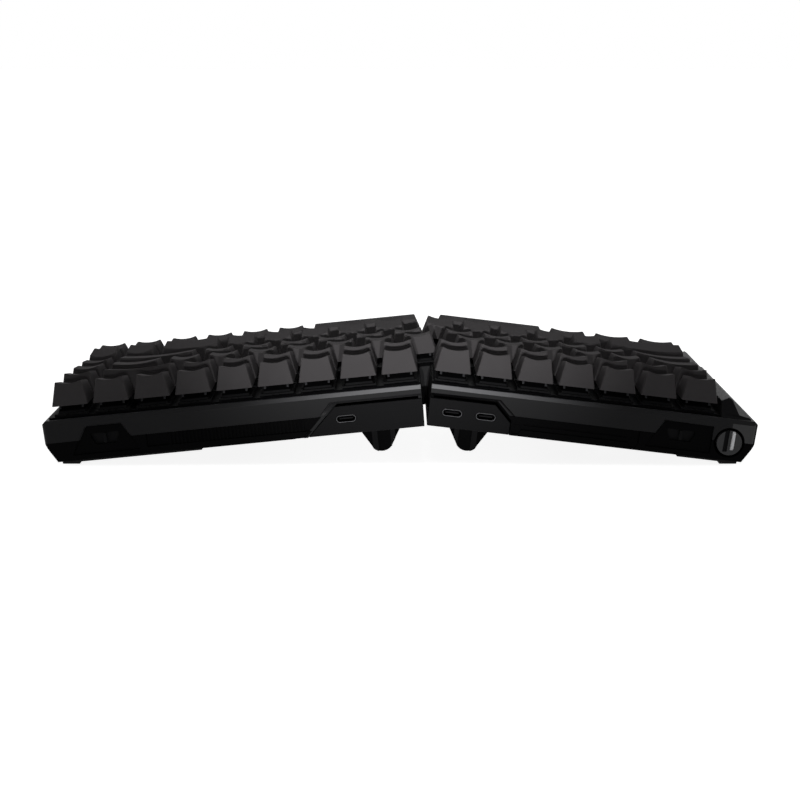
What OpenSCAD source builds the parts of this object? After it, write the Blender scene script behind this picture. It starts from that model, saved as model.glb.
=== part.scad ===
// Ergonomic split keyboard: two tented halves with floating keycaps, in millimetres.
// Each half is drawn flat, with x = 0 on the split line, y = 0 on the back edge of the key field
// and z = 0 on the underside of its case. It is then tented about y and set on the table, z = 0.
// The user sits on the -Y side, so the sockets, the knob and the slide switches face +Y.

/* [Keys] */
// Distance from one key to the next
key_pitch = 19.05; // [18.4:0.05:20]
// Gap between the skirts of two keycaps
cap_gap = 2.35; // [1.8:0.05:3]
// How far the sides of a keycap lean in
cap_side_lean = 2.2; // [1:0.1:2.6]
// How far the back of a keycap leans in
cap_back_lean = 3.2; // [2:0.1:3.6]
// How far the front of a keycap leans in
cap_front_lean = 2.4; // [1.5:0.1:3]
// Thickness of a keycap's walls
cap_wall = 1.3; // [0.9:0.1:1.5]
// Thickness of a keycap's top under the dish
cap_roof = 1.3; // [1:0.1:1.6]
// Depth of the dish in a keycap's top
dish_depth = 1.1; // [0.5:0.1:1.4]
// How far a key goes down
key_travel = 3.5; // [2.5:0.1:3.6]
// Height of a function or number cap at its back edge
top_row_back = 10.9; // [9.5:0.1:12]
// Height of a function or number cap at its front edge
top_row_front = 8.6; // [8:0.1:10]
// Height of an upper letter cap at its back edge
upper_row_back = 9.4; // [8.5:0.1:11]
// Height of an upper letter cap at its front edge
upper_row_front = 8.2; // [7.5:0.1:10]
// Height of a home row cap at its back edge
home_row_back = 8.4; // [7.5:0.1:10]
// Height of a home row cap at its front edge
home_row_front = 7; // [6.8:0.1:10]
// Height of a lower letter cap at its back edge
lower_row_back = 7.6; // [7:0.1:9]
// Height of a lower letter cap at its front edge
lower_row_front = 9.3; // [7.5:0.1:10]
// Height of a bottom row cap at its back edge
bottom_row_back = 6.4; // [6.2:0.1:8]
// Height of a bottom row cap at its front edge
bottom_row_front = 7.1; // [6.4:0.1:8.5]

/* [Switches] */
// Width of a switch flange on the plate
flange_w = 15.6; // [14.8:0.1:16]
// Thickness of a switch flange
flange_t = 0.85; // [0.6:0.05:1.2]
// Width of a switch body under the plate
switch_body_w = 13.9; // [13.5:0.1:14.2]
// Width of the upper housing where it leaves the flange
housing_base_w = 13.2; // [12.5:0.1:13.4]
// Width of the upper housing at its top
housing_top_w = 10.2; // [9.6:0.1:10.6]
// Depth of the upper housing at its top, front to back
housing_top_d = 9; // [8.4:0.1:9.4]
// Width of the sliding stem
stem_w = 6.6; // [6:0.1:7]
// Depth of the sliding stem
stem_d = 5.4; // [5:0.1:6]
// Diameter of the post inside a keycap
post_d = 5.5; // [5.2:0.1:5.7]
// Length of a stem's cross arms
cross_l = 4; // [3.6:0.1:4.2]
// Thickness of a stem's cross arms
cross_t = 1.3; // [1:0.05:1.4]
// Height of a stem's cross
cross_h = 3; // [2.4:0.1:3.2]
// Gap between a switch body and the stabiliser beside it
stabiliser_gap = 1.85; // [1.4:0.05:2.1]
// Half the distance between the stabiliser stems of a space bar
space_stabiliser_reach = 19.05; // [16:0.05:21]
// Width of a stabiliser housing
stabiliser_w = 6.2; // [5.6:0.1:6.6]
// Depth of a stabiliser housing, front to back
stabiliser_d = 11.2; // [10:0.1:11.4]
// Diameter of a stabiliser's wire
wire_d = 1.6; // [1.2:0.1:1.8]

/* [Case] */
// Height of the deck over the underside
deck_h = 20.4; // [19.6:0.1:22]
// Height of the seam between the upper shell and the tray
seam_h = 9.2; // [8.8:0.1:9.6]
// Width of the gap that the split leaves between the two cases
split_gap = 1; // [0.8:0.1:2]
// Rim behind the key field
rear_rim = 3.8; // [3.4:0.1:5]
// Rim in front of the key field
front_rim = 4; // [3.4:0.1:8]
// Rim outside the right half's last key
right_rim = 3.75; // [2.4:0.05:5]
// Rim outside the left half's last key, which carries the side rail
left_rim = 18.15; // [16.8:0.05:20]
// Radius of the outer corners seen from above
corner_r = 2.5; // [1.5:0.1:4]
// How far the rim of the upper shell lies below the deck
rim_drop = 0.9; // [0.6:0.1:1.2]
// Chamfer along the top edge of the upper shell
top_chamfer = 1.6; // [1:0.1:1.9]
// How far the tray's outer side slopes in
tray_slope = 5.3; // [3:0.1:6]
// Thickness of the upper shell's wall
shell_wall = 1.6; // [1.2:0.1:1.7]
// Thickness of the tray's wall
tray_wall = 2.2; // [1.8:0.1:2.3]
// Thickness of the tray's floor
tray_floor = 2; // [1.6:0.1:2.6]
// Thickness of the switch plate
plate_t = 1.5; // [1.2:0.1:2]
// Margin of the switch plate round the key field
plate_margin = 0.5; // [0.3:0.1:0.9]
// Thickness of a circuit board
board_t = 1.6; // [1.2:0.1:1.8]
// Distance from the plate's top down to the circuit board
board_drop = 5; // [4.8:0.1:5.4]

/* [Back face] */
// Height of the port panel's top edge
panel_h = 13.1; // [12.4:0.1:14]
// Shadow gap over the port panel
panel_shadow = 1.3; // [0.4:0.1:1.6]
// How far the port panel is set back
panel_setback = 0.8; // [0.4:0.1:1]
// Thickness of the panels and inserts in the back face
panel_t = 1.6; // [1.2:0.1:1.8]
// Width of the right port panel along its foot
right_panel_foot = 53.7; // [51:0.1:55]
// Width of the right port panel along its top
right_panel_top = 40.6; // [38:0.1:43]
// Width of the left port panel along its foot
left_panel_foot = 38.3; // [37.6:0.1:39]
// Width of the left port panel along its top
left_panel_top = 30.6; // [29:0.1:32]
// Height at which the left port panel's slanted edge ends
left_panel_step = 5.5; // [5:0.1:7]
// Distance of the right socket from the split line
right_port_x = 35.9; // [28:0.1:36.5]
// Distance of the left half's inner socket from the split line
left_port_x = 11.3; // [9:0.1:13]
// Distance between the left half's two sockets
port_spacing = 15.5; // [12:0.1:16]
// Height of the sockets' middle
port_h = 7.1; // [6.8:0.1:8]
// Outer width of a socket's metal shell
port_w = 8.94; // [8.5:0.02:9.4]
// Outer height of a socket's metal shell
port_t = 3.26; // [3:0.02:3.6]
// Wall of a socket's metal shell
port_wall = 0.3; // [0.2:0.05:0.4]
// Length of a socket
port_l = 7.3; // [6:0.1:9]
// Lower edge of the strips along the back
strip_low = 3.3; // [2.8:0.1:5]
// Wall between a strip and the insert beyond it
strip_web = 3.5; // [2.5:0.1:5]
// Distance from one rib to the next
rib_pitch = 1.75; // [1.4:0.05:2.5]
// Width of a rib
rib_w = 0.9; // [0.5:0.05:1.2]
// Number of ribs
rib_count = 36; // [20:1:38]
// Diameter across the hexagonal studs of the left strip
stud_d = 5; // [4:0.1:5.2]
// How deep the studs sit in the tray
stud_sink = 1; // [0.8:0.1:1.2]

/* [Slide switches] */
// Middle of the right slide switch
right_slide_x = 147; // [146:0.1:148]
// Middle of the left slide switch
left_slide_x = 116.8; // [116:0.1:118]
// Height of the slide switches' middle
slide_h = 9.2; // [8.9:0.1:9.6]
// Width of a slide switch's window at its top
window_w = 12.8; // [11:0.1:13.4]
// Height of a slide switch's window
window_h = 5.2; // [4:0.1:5.6]
// How far a slide switch goes to either side
slide_travel = 2.5; // [1.5:0.1:3]
// Width of the bar on a slider
slider_bar = 1.4; // [1:0.1:2]
// Width of an insert along its foot
insert_foot = 31; // [29:0.1:32]
// Width of an insert along its top
insert_top = 16; // [15.4:0.1:19]
// Height of an insert's top edge
insert_h = 15.2; // [14.4:0.1:15.8]
// Height of an insert's lower edge
insert_low = 2.6; // [2.2:0.1:3.2]

/* [Selector knob] */
// Distance of the knob from the split line
knob_x = 139.3; // [138.6:0.1:139.5]
// Height of the knob's axis
knob_h = 8.5; // [8.2:0.1:8.8]
// Diameter of the knob
knob_d = 12.5; // [11:0.1:12.8]
// Gap round the knob
knob_gap = 0.8; // [0.4:0.1:0.9]
// How far the knob stands proud of the case
knob_proud = 0.4; // [0.2:0.1:1]
// Height of the pointer fin on the knob
fin_h = 1.2; // [0.6:0.1:2]
// Width of the pointer fin
fin_w = 1.3; // [0.8:0.1:2]
// Diameter of the knob's shaft
shaft_d = 4; // [3:0.1:5]

/* [Side rail] */
// Height of the rail's ridge over the deck
rail_h = 7.7; // [5:0.1:9]
// Distance of the rail's ridge from the key field
ridge_x = 4.4; // [3.5:0.1:5.5]
// Height of the rail's inner edge over the deck
rail_inner_h = 5.9; // [4:0.1:6.5]
// Distance of the foot of the rail's steep outer face from the key field
rail_foot_x = 9.4; // [7:0.1:11]
// Distance of the rail's outer edge from the side of the case
rail_side = 3; // [2:0.1:5]
// Distance of the rail's back end from the back of the case
rail_setback = 2.2; // [1.5:0.1:4]
// How far the rail's ends lean in
rail_end_lean = 5.5; // [3:0.1:8]

/* [Feet and pads] */
// Distance of the tenting feet from the split line
foot_x = 21.7; // [21.6:0.1:26]
// Distance of the feet's hinges from the front and back faces
foot_inset = 26; // [25:0.1:27]
// How far an open foot reaches below the case
foot_reach = 16.4; // [12:0.1:18]
// Width of a foot at its root
foot_w = 19; // [15:0.1:19.4]
// Radius of a foot's tip
foot_tip_r = 5.8; // [4:0.1:6]
// Thickness of a foot
foot_t = 4.4; // [3.6:0.1:4.8]
// Length of a foot's straight root below the case
foot_root = 5.5; // [3:0.1:6]
// Height of a foot's hinge over the underside
hinge_h = 2.8; // [2.6:0.1:3.2]
// Diameter of a hinge pin
pin_d = 2; // [1.5:0.1:2.2]
// Thickness of the outer pads at their outer edge
pad_t = 1.6; // [1:0.1:2.4]
// Width of an outer pad's level sole
pad_w = 8; // [5:0.5:12]
// Thickness of the strip that carries the sole
pad_sheet_t = 1.4; // [0.8:0.1:1.8]
// Width of the right half's pad strips
right_pad_run = 65; // [30:1:80]
// Width of the left half's pad strips
left_pad_run = 28; // [20:1:60]
// Length of an outer pad, front to back
pad_l = 26; // [16:0.5:36]
// Distance of the outer pads from the tray's bottom edge
pad_inset = 1.2; // [0.8:0.1:3]

/* [Fits] */
// Gap round panels, plates and inserts
fit = 0.15; // [0.1:0.01:0.2]
// Gap round parts that slide
slide_fit = 0.3; // [0.2:0.01:0.35]
// Gap between a pressed key and what is under it
cap_clear = 0.25; // [0.2:0.01:0.4]
// Radial gap between a pin or shaft and its bore
pin_fit = 0.05; // [0.02:0.01:0.08]

/* [Hidden] */
$fn = 48;
EPS = 0.01;
row_back = [top_row_back, top_row_back, upper_row_back, home_row_back, lower_row_back,
    bottom_row_back];
row_front = [top_row_front, top_row_front, upper_row_front, home_row_front, lower_row_front,
    bottom_row_front];
rows = len(row_back);
split_unit = 7;
left_units = 7;
right_units = 9;
wide_key = 2;
space_key = 3;
// Where the split runs: [distance from the split line in keys, number of rows down to the step]
split_steps = [[0, 2], [-0.5, 3], [-0.25, 4], [0.25, 5], [-0.125, 6]];

// Heights in each half
well_floor = 0.5;
stem_rise = 0.1;
plate_low = deck_h - plate_t;
board_top = deck_h - board_drop;
skirt_h = deck_h + flange_t + key_travel + cap_clear;
lowest_roof = bottom_row_back - dish_depth - cap_roof;
housing_h = skirt_h - deck_h + lowest_roof - key_travel - cap_clear;
housing_top = deck_h + housing_h;
well_low = board_top + well_floor;
stem_top = housing_top + stem_rise;
stem_low = well_low + key_travel + cap_clear;
rim_h = deck_h - rim_drop;
band_h = rim_h - top_chamfer;
side_stem_w = stem_w / 2;
stabiliser_reach = switch_body_w / 2 + stabiliser_gap + stabiliser_w / 2;
stabiliser_top = deck_h + flange_t + cap_clear;
wire_y = -switch_body_w / 2 - slide_fit - wire_d / 2;

// Plan of each half
field_depth = rows * key_pitch;
back_y = rear_rim;
front_y = -field_depth - front_rim;
right_x = right_units * key_pitch + right_rim;
left_x = -left_units * key_pitch - left_rim;
half_gap = split_gap / 2;
cap_base = key_pitch - cap_gap;
plate_back = plate_margin;
plate_front = -field_depth - plate_margin;
right_plate_x = right_units * key_pitch + plate_margin;
left_plate_x = -left_units * key_pitch - plate_margin;
ledge = 0.9;
ledge_t = 2;
rear_hinge_y = back_y - foot_inset;
front_hinge_y = front_y + foot_inset;
right_pad_x = right_x - tray_slope - pad_inset;
left_pad_x = -left_x - tray_slope - pad_inset;

// The tent: a foot's round tip and the outer edge of the pads stand on the same table.
tip_drop = foot_reach - foot_tip_r;
function tent(pad_x) =
    let (run = pad_x - foot_x, drop = tip_drop - pad_t)
    atan2(drop, run) + asin(foot_tip_r / norm([run, drop]));
function lift(pad_x) = pad_x * sin(tent(pad_x)) + pad_t * cos(tent(pad_x));
right_tent = tent(right_pad_x);
left_tent = tent(left_pad_x);
right_lift = lift(right_pad_x);
left_lift = lift(left_pad_x);
right_reach = right_x * cos(right_tent) + band_h * sin(right_tent);
left_reach = -left_x * cos(left_tent) + band_h * sin(left_tent);
place_x = (left_reach - right_reach) / 2;
place_y = -(back_y + knob_proud + fin_h + front_y) / 2;

// Keys: [row, first unit, units wide]
function run(row, first, count, units = 1) = [for (i = [0:count - 1]) [row, first + i * units, units]];
left_function = run(0, 0, 7);
left_number = run(1, 0, 7);
tab = run(2, 0, 1, 1.5);
left_upper = run(2, 1.5, 5);
caps = run(3, 0, 1, 1.75);
left_home = run(3, 1.75, 5);
left_shift = run(4, 0, 1, 2.25);
left_lower = run(4, 2.25, 5);
left_modifier = run(5, 0, 3, 1.25);
left_space = run(5, 3.75, 1, 3.125);
right_function = run(0, 7, 9);
right_number = run(1, 7, 6);
backspace = run(1, 13, 1, 2);
right_upper = concat(run(2, 6.5, 7), run(2, 13.5, 1, 1.5));
right_home = run(3, 6.75, 6);
enter = run(3, 12.75, 1, 2.25);
right_lower = run(4, 7.25, 5);
right_shift = run(4, 12.25, 1, 1.75);
arrow = concat(run(4, 14, 1), run(5, 13, 3));
navigation = [for (row = [1:4]) [row, 15, 1]];
right_modifier = run(5, 10, 3);
right_space = run(5, 6.875, 1, 3.125);
left_keys = concat(left_function, left_number, tab, left_upper, caps, left_home, left_shift, left_lower,
    left_modifier, left_space);
right_keys = concat(right_function, right_number, backspace, right_upper, right_home, enter, right_lower,
    right_shift, arrow, navigation, right_modifier, right_space);
function key_x(key) = (key[1] + key[2] / 2 - split_unit) * key_pitch;
function key_y(key) = -(key[0] + 0.5) * key_pitch;
function reach(key) = key[2] >= space_key ? space_stabiliser_reach : stabiliser_reach;
function stem_places(key) = key[2] < wide_key ? [0] : [-reach(key), 0, reach(key)];
function side_places(key) = key[2] < wide_key ? [] : [-reach(key), reach(key)];

// Screws, on two of the lines between the rows
screw_d = 1.9;
screw_head_d = 4.2;
screw_head_t = 1.4;
boss_d = 6;
standoff_d = 4.4;
screw_sink = 0.8;
right_screws_at = [3, 5.5, 8.5] * key_pitch;
left_screws_at = [-2.5, -4.5, -6.5] * key_pitch;
screw_rows = [-1, -4] * key_pitch;

// Foot pockets in the trays
knuckle_swell = 0.1;
knuckle_r = foot_t / 2 + knuckle_swell;
pocket_top = hinge_h + knuckle_r + slide_fit;
pocket_wall = 1.6;
pocket_heel = knuckle_r + slide_fit;
pocket_end = foot_reach + hinge_h + slide_fit;

// Strips along the back
right_strip_end = right_slide_x - insert_foot / 2 - strip_web;
left_strip_end = left_slide_x - insert_foot / 2 - strip_web;
groove = 0.6;
rib_sink = 0.9;

// Port boards
port_board_t = 1.2;
port_board_top = port_h - port_t / 2;
port_board_l = 11;
port_board_margin = 3;
port_lip = 0.4;
port_stand_l = 3;
tongue_t = 0.7;
tongue_side = 0.8;
tongue_set = 1;

// Slide switches and knob
slider_t = 1.2;
slider_side = 1.2;
guide_t = 1;
knob_web = 1.2;
encoder_w = 7.2;
encoder_l = 8;
encoder_gap = 1.4;
knob_t = 2.2;
encoder_h = 11.4;
encoder_back = back_y + knob_proud - knob_t - encoder_gap;

// Side rail
rail_edge = 0.5;
rail_shelf = 1.7;
rail_bevel_w = 1.8;
rail_bevel_h = 1.1;

// Battery
battery_w = 60;
battery_l = 44;
battery_t = 6;
battery_x = (left_screws_at[1] + left_screws_at[2]) / 2;
battery_y = (screw_rows[0] + screw_rows[1]) / 2;

// Rows of the corner points of one half's inner edge, moved in by inset. Side is 1 right, -1 left.
function step_y(side, inset, i) =
    -split_steps[i][1] * key_pitch
    + side * (half_gap + inset) * sign(split_steps[i + 1][0] - split_steps[i][0]);
function inner_edge(side, inset, back, front) =
    let (last = len(split_steps) - 1)
    [for (i = [0:last])
        let (x = split_steps[i][0] * key_pitch + side * (half_gap + inset))
        each [[x, i == 0 ? back : step_y(side, inset, i - 1)],
            [x, i == last ? front : step_y(side, inset, i)]]];

module plan(side, inset, outer, back, front) {
    edge = inner_edge(side, inset, back, front);
    polygon(concat([[outer, back]], edge, [[outer, front]]));
}

// The plan with its two outer corners rounded
module round_plan(side, outer, back, front) {
    intersection() {
        plan(side, 0, outer, back, front);
        union() {
            square_between([-side * key_pitch, front], [outer - side * corner_r, back]);
            square_between([-side * key_pitch, front + corner_r], [outer, back - corner_r]);
            for (y = [front + corner_r, back - corner_r])
                translate([outer - side * corner_r, y]) circle(corner_r);
        }
    }
}

module square_between(a, b) {
    translate([min(a[0], b[0]), min(a[1], b[1])]) square([abs(b[0] - a[0]), abs(b[1] - a[1])]);
}

module box(x, y, z) {
    translate([min(x[0], x[1]), min(y[0], y[1]), z[0]])
        cube([abs(x[1] - x[0]), abs(y[1] - y[0]), z[1] - z[0]]);
}

// A flat outline drawn in x and z, reaching from y = far forward by depth
module upright(far, depth) {
    translate([0, far, 0]) rotate([90, 0, 0]) linear_extrude(depth) children();
}

// A flat outline drawn in y and z, reaching from x = start outward by length
module across(start, length) {
    translate([start, 0, 0]) rotate([90, 0, 90]) linear_extrude(length) children();
}

module right_place() {
    translate([place_x, place_y, right_lift]) rotate([0, right_tent, 0]) children();
}

module left_place() {
    translate([place_x, place_y, left_lift]) rotate([0, -left_tent, 0]) children();
}

// Keycaps and stems

// A keycap's form, with its walls moved in by inset and its top moved down by drop
module cap_form(row, width, inset, drop) {
    back = row_back[row];
    front = row_front[row];
    high = max(back, front);
    half = width / 2 - inset;
    deep = cap_base / 2 - inset;
    side_lean = cap_side_lean * (high - drop) / high;
    back_lean = cap_back_lean * (back - drop) / back;
    front_lean = cap_front_lean * (front - drop) / front;
    intersection() {
        upright(cap_base, 2 * cap_base)
            polygon([[-half, 0], [half, 0],
                [half - side_lean, high - drop], [side_lean - half, high - drop]]);
        across(-width, 2 * width)
            polygon([[-deep, 0], [deep, 0],
                [deep - back_lean, back - drop], [front_lean - deep, front - drop]]);
    }
}

module cap(row, units) {
    width = units * key_pitch - cap_gap;
    back = row_back[row];
    front = row_front[row];
    slope = atan2(back - front, cap_base - cap_back_lean - cap_front_lean);
    chord = width - 2 * cap_side_lean;
    dish_r = chord * chord / (8 * dish_depth) + dish_depth / 2;
    difference() {
        cap_form(row, width, 0, 0);
        translate([0, 0, -EPS]) cap_form(row, width, cap_wall, dish_depth + cap_roof);
        if (units < space_key)
            translate([0, (cap_front_lean - cap_back_lean) / 2, (back + front) / 2])
                rotate([slope, 0, 0]) translate([0, 0, dish_r - dish_depth])
                    rotate([90, 0, 0]) cylinder(r = dish_r, h = 2 * key_pitch, center = true, $fn = 192);
    }
}

module cross(length, thickness, height) {
    translate([-length / 2, -thickness / 2, 0]) cube([length, thickness, height]);
    translate([-thickness / 2, -length / 2, 0]) cube([thickness, length, height]);
}

// A post under the cap's roof, with a socket for the stem's cross
module post(row) {
    low = stem_top + pin_fit - skirt_h;
    high = (row_back[row] + row_front[row]) / 2 - dish_depth - cap_roof / 2;
    difference() {
        translate([0, 0, low]) cylinder(d = post_d, h = high - low);
        translate([0, 0, low - EPS]) cross(cross_l + 2 * pin_fit, cross_t + 2 * pin_fit, cross_h + fit);
    }
}

module stem(width, depth) {
    translate([-width / 2, -depth / 2, stem_low]) cube([width, depth, stem_top - stem_low]);
    translate([0, 0, stem_top - EPS]) cross(cross_l, cross_t, cross_h + EPS);
}

module key_caps(keys) {
    for (key = keys) {
        translate([key_x(key), key_y(key), skirt_h]) {
            cap(key[0], key[2]);
            for (x = stem_places(key)) translate([x, 0, 0]) post(key[0]);
        }
        translate([key_x(key), key_y(key), 0]) stem(stem_w, stem_d);
        for (x = side_places(key)) translate([key_x(key) + x, key_y(key), 0]) stem(side_stem_w, stem_d);
    }
}

// Switches

module switch_housing() {
    base = housing_base_w / 2;
    rise = housing_top - deck_h - flange_t;
    difference() {
        union() {
            translate([-switch_body_w / 2, -switch_body_w / 2, board_top])
                cube([switch_body_w, switch_body_w, deck_h - board_top + EPS]);
            translate([-flange_w / 2, -flange_w / 2, deck_h]) cube([flange_w, flange_w, flange_t]);
            translate([0, 0, deck_h + flange_t - EPS]) intersection() {
                upright(base, 2 * base) polygon([[-base, 0], [base, 0],
                    [housing_top_w / 2, rise + EPS], [-housing_top_w / 2, rise + EPS]]);
                across(-base, 2 * base) polygon([[-base, 0], [base, 0],
                    [housing_top_d / 2, rise + EPS], [-housing_top_d / 2, rise + EPS]]);
            }
        }
        translate([-stem_w / 2 - slide_fit, -stem_d / 2 - slide_fit, well_low])
            cube([stem_w + 2 * slide_fit, stem_d + 2 * slide_fit, housing_top]);
    }
}

module switch_housings(keys) {
    for (key = keys) translate([key_x(key), key_y(key), 0]) switch_housing();
}

module stabiliser_housing() {
    half = stabiliser_w / 2;
    well_w = side_stem_w / 2 + slide_fit;
    well_d = stem_d / 2 + slide_fit;
    difference() {
        union() {
            box([-half, half], [-stabiliser_d / 2, stabiliser_d / 2], [board_top, stabiliser_top]);
            box([-half, half], [wire_y, 0], [board_top, plate_low - fit]);
        }
        box([-well_w, well_w], [-well_d, well_d], [well_low, stabiliser_top + 1]);
        wire(stabiliser_w, pin_fit);
    }
}

module wire(length, grow) {
    translate([-length, wire_y, board_top + wire_d]) rotate([0, 90, 0])
        cylinder(d = wire_d + 2 * grow, h = 2 * length);
}

// A housing at either end of each wide key, and the wire that ties its two ends together
module stabilisers(keys) {
    for (key = keys) if (key[2] >= wide_key) translate([key_x(key), key_y(key), 0]) {
        for (x = side_places(key)) translate([x, 0, 0]) stabiliser_housing();
        wire(reach(key) + stabiliser_w / 2, 0);
    }
}

// Plate and boards

module switch_plate(side, outer, keys, screws) {
    difference() {
        union() {
            translate([0, 0, plate_low]) linear_extrude(plate_t)
                plan(side, 0, outer, plate_back, plate_front);
            for (x = screws, y = screw_rows)
                translate([x, y, seam_h]) cylinder(d = standoff_d, h = plate_low - seam_h + EPS);
        }
        for (key = keys) translate([key_x(key), key_y(key), 0]) {
            plate_hole(switch_body_w, switch_body_w);
            for (x = side_places(key)) translate([x, 0, 0]) plate_hole(stabiliser_w, stabiliser_d);
        }
        for (x = screws, y = screw_rows)
            translate([x, y, seam_h - EPS])
                cylinder(d = screw_d + 2 * pin_fit, h = plate_low - seam_h - plate_t);
    }
}

module plate_hole(width, depth) {
    half = width / 2 + pin_fit;
    deep = depth / 2 + pin_fit;
    box([-half, half], [-deep, deep], [plate_low - 1, deck_h + 1]);
}

module circuit_board(side, outer, screws) {
    inset = shell_wall + slide_fit;
    difference() {
        translate([0, 0, board_top - board_t]) linear_extrude(board_t)
            plan(side, inset, outer - side * inset, -inset / 2, -field_depth + inset / 2);
        for (x = screws, y = screw_rows)
            translate([x, y, 0]) cylinder(d = standoff_d + 2 * slide_fit, h = deck_h);
    }
}

// Outlines of what is let into the back face, grown by a clearance. The port panels reach to the split
// and to the underside, and a cut for one goes past both.

function right_slant(z) = right_panel_foot + (right_panel_top - right_panel_foot) * z / panel_h;

module right_panel_outline(grow, shadow, past) {
    inner = half_gap - past;
    high = panel_h + shadow;
    polygon([[inner, -past], [right_slant(-past) + grow, -past], [right_slant(high) + grow, high],
        [inner, high]]);
}

module left_panel_outline(grow, shadow, past) {
    inner = past - half_gap;
    high = panel_h + shadow;
    polygon([[inner, -past], [inner, high], [-left_panel_top - grow, high],
        [-left_panel_foot - grow, left_panel_step + shadow], [-left_panel_foot - grow, -past]]);
}

// A cut just deep enough for a port panel
module panel_cut() {
    upright(back_y + 1, panel_setback + panel_t + fit + 1) children();
}

module right_insert_outline(grow) {
    foot = insert_foot / 2 + grow;
    top = insert_top / 2 + grow;
    polygon([[right_slide_x - foot, insert_low - grow], [right_slide_x + foot, insert_low - grow],
        [right_slide_x + top, insert_h + grow], [right_slide_x - top, insert_h + grow]]);
}

// Slanted towards the split, and upright beside the knob
module left_insert_outline(grow) {
    foot = insert_foot / 2 + grow;
    top = insert_top / 2 + grow;
    beside = -knob_x + knob_d / 2 + knob_gap + knob_web - grow;
    polygon([[beside, insert_low - grow], [foot - left_slide_x, insert_low - grow],
        [top - left_slide_x, insert_h + grow], [beside, insert_h + grow]]);
}

module window_outline(middle, grow) {
    wide = window_w / 2 + grow;
    high = window_h / 2 + grow;
    narrow = wide - window_h / 3;
    polygon([[middle - narrow, slide_h - high], [middle + narrow, slide_h - high],
        [middle + wide, slide_h + high / 3], [middle + wide, slide_h + high],
        [middle - wide, slide_h + high], [middle - wide, slide_h + high / 3]]);
}

module knob_hole() {
    translate([-knob_x, back_y + 1, knob_h]) rotate([90, 0, 0])
        cylinder(d = knob_d + 2 * knob_gap, h = rear_rim + 1);
}

module right_back_cuts() {
    panel_cut() right_panel_outline(fit, panel_shadow, 1);
    upright(back_y + 1, rear_rim + 1) right_insert_outline(fit);
}

module left_back_cuts() {
    panel_cut() left_panel_outline(fit, panel_shadow, 1);
    upright(back_y + 1, rear_rim + 1) left_insert_outline(fit);
    knob_hole();
}

// Upper shells

module top_chamfers(side, outer) {
    edge = abs(outer);
    upright(back_y + 1, back_y - front_y + 2) scale([side, 1])
        polygon([[edge - top_chamfer, rim_h], [edge, band_h], [edge + 1, band_h], [edge + 1, deck_h],
            [edge - top_chamfer, deck_h]]);
    across(min(0, outer) - key_pitch, abs(outer) + 2 * key_pitch)
        polygon([[back_y - top_chamfer, rim_h], [back_y, band_h], [back_y + 1, band_h],
            [back_y + 1, deck_h], [back_y - top_chamfer, deck_h]]);
    across(min(0, outer) - key_pitch, abs(outer) + 2 * key_pitch)
        polygon([[front_y + top_chamfer, rim_h], [front_y, band_h], [front_y - 1, band_h],
            [front_y - 1, deck_h], [front_y + top_chamfer, deck_h]]);
}

module upper_shell(side, outer, plate_outer) {
    difference() {
        translate([0, 0, seam_h]) linear_extrude(rim_h - seam_h) round_plan(side, outer, back_y, front_y);
        translate([0, 0, seam_h - 1]) linear_extrude(plate_low - ledge_t - seam_h + 1)
            plan(side, shell_wall, outer - side * shell_wall, back_y - shell_wall, front_y + shell_wall);
        translate([0, 0, seam_h]) linear_extrude(deck_h)
            plan(side, shell_wall, plate_outer - side * ledge, plate_back - ledge, plate_front + ledge);
        translate([0, 0, plate_low]) linear_extrude(deck_h)
            plan(side, -split_gap, plate_outer + side * fit, plate_back + fit, plate_front - fit);
        top_chamfers(side, outer);
    }
}

// Trays

module tray_slope_cut(side, outer) {
    edge = abs(outer);
    steep = tray_slope / seam_h;
    upright(back_y + 1, back_y - front_y + 2) scale([side, 1])
        polygon([[edge, seam_h], [edge + 1, seam_h], [edge + 1, -1], [edge - tray_slope - steep, -1]]);
}

module foot_block(hinge_y, fold) {
    half = foot_w / 2 + slide_fit + pocket_wall;
    translate([0, hinge_y, 0])
        box([-half, half], [-fold * (pocket_end + pocket_wall), fold * (pocket_heel + pocket_wall)],
            [0, pocket_top + pocket_wall]);
}

module foot_pocket(hinge_y, fold) {
    half = foot_w / 2 + slide_fit;
    translate([0, hinge_y, 0])
        box([-half, half], [-fold * pocket_end, fold * pocket_heel], [-1, pocket_top]);
}

// A pin goes in through one wall of the pocket and ends inside the other
module hinge_pin(hinge_y, grow) {
    half = foot_w / 2 + slide_fit + pocket_wall;
    translate([-half - grow, hinge_y, hinge_h])
        rotate([0, 90, 0]) cylinder(d = pin_d + grow, h = 2 * half - pocket_wall / 2 + grow);
}

module tray(side, outer, screws, ports) {
    cave = outer - side * (tray_slope + tray_wall);
    difference() {
        union() {
            difference() {
                linear_extrude(seam_h) round_plan(side, outer, back_y, front_y);
                translate([0, 0, tray_floor]) linear_extrude(seam_h)
                    plan(side, tray_wall, cave, back_y - tray_wall, front_y + tray_wall);
                tray_slope_cut(side, outer);
            }
            for (x = screws, y = screw_rows) translate([x, y, EPS]) cylinder(d = boss_d, h = seam_h - EPS);
            for (x = ports) port_stand(x);
            translate([side * foot_x, 0, 0]) {
                foot_block(rear_hinge_y, 1);
                foot_block(front_hinge_y, -1);
            }
        }
        for (x = screws, y = screw_rows) translate([x, y, -EPS]) {
            cylinder(d = screw_d + 4 * pin_fit, h = seam_h + 1);
            cylinder(d = screw_head_d + 2 * slide_fit, h = screw_sink + screw_head_t + EPS);
        }
        translate([side * foot_x, 0, 0]) {
            foot_pocket(rear_hinge_y, 1);
            foot_pocket(front_hinge_y, -1);
            hinge_pin(rear_hinge_y, pin_fit);
            hinge_pin(front_hinge_y, pin_fit);
        }
    }
}

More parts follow.
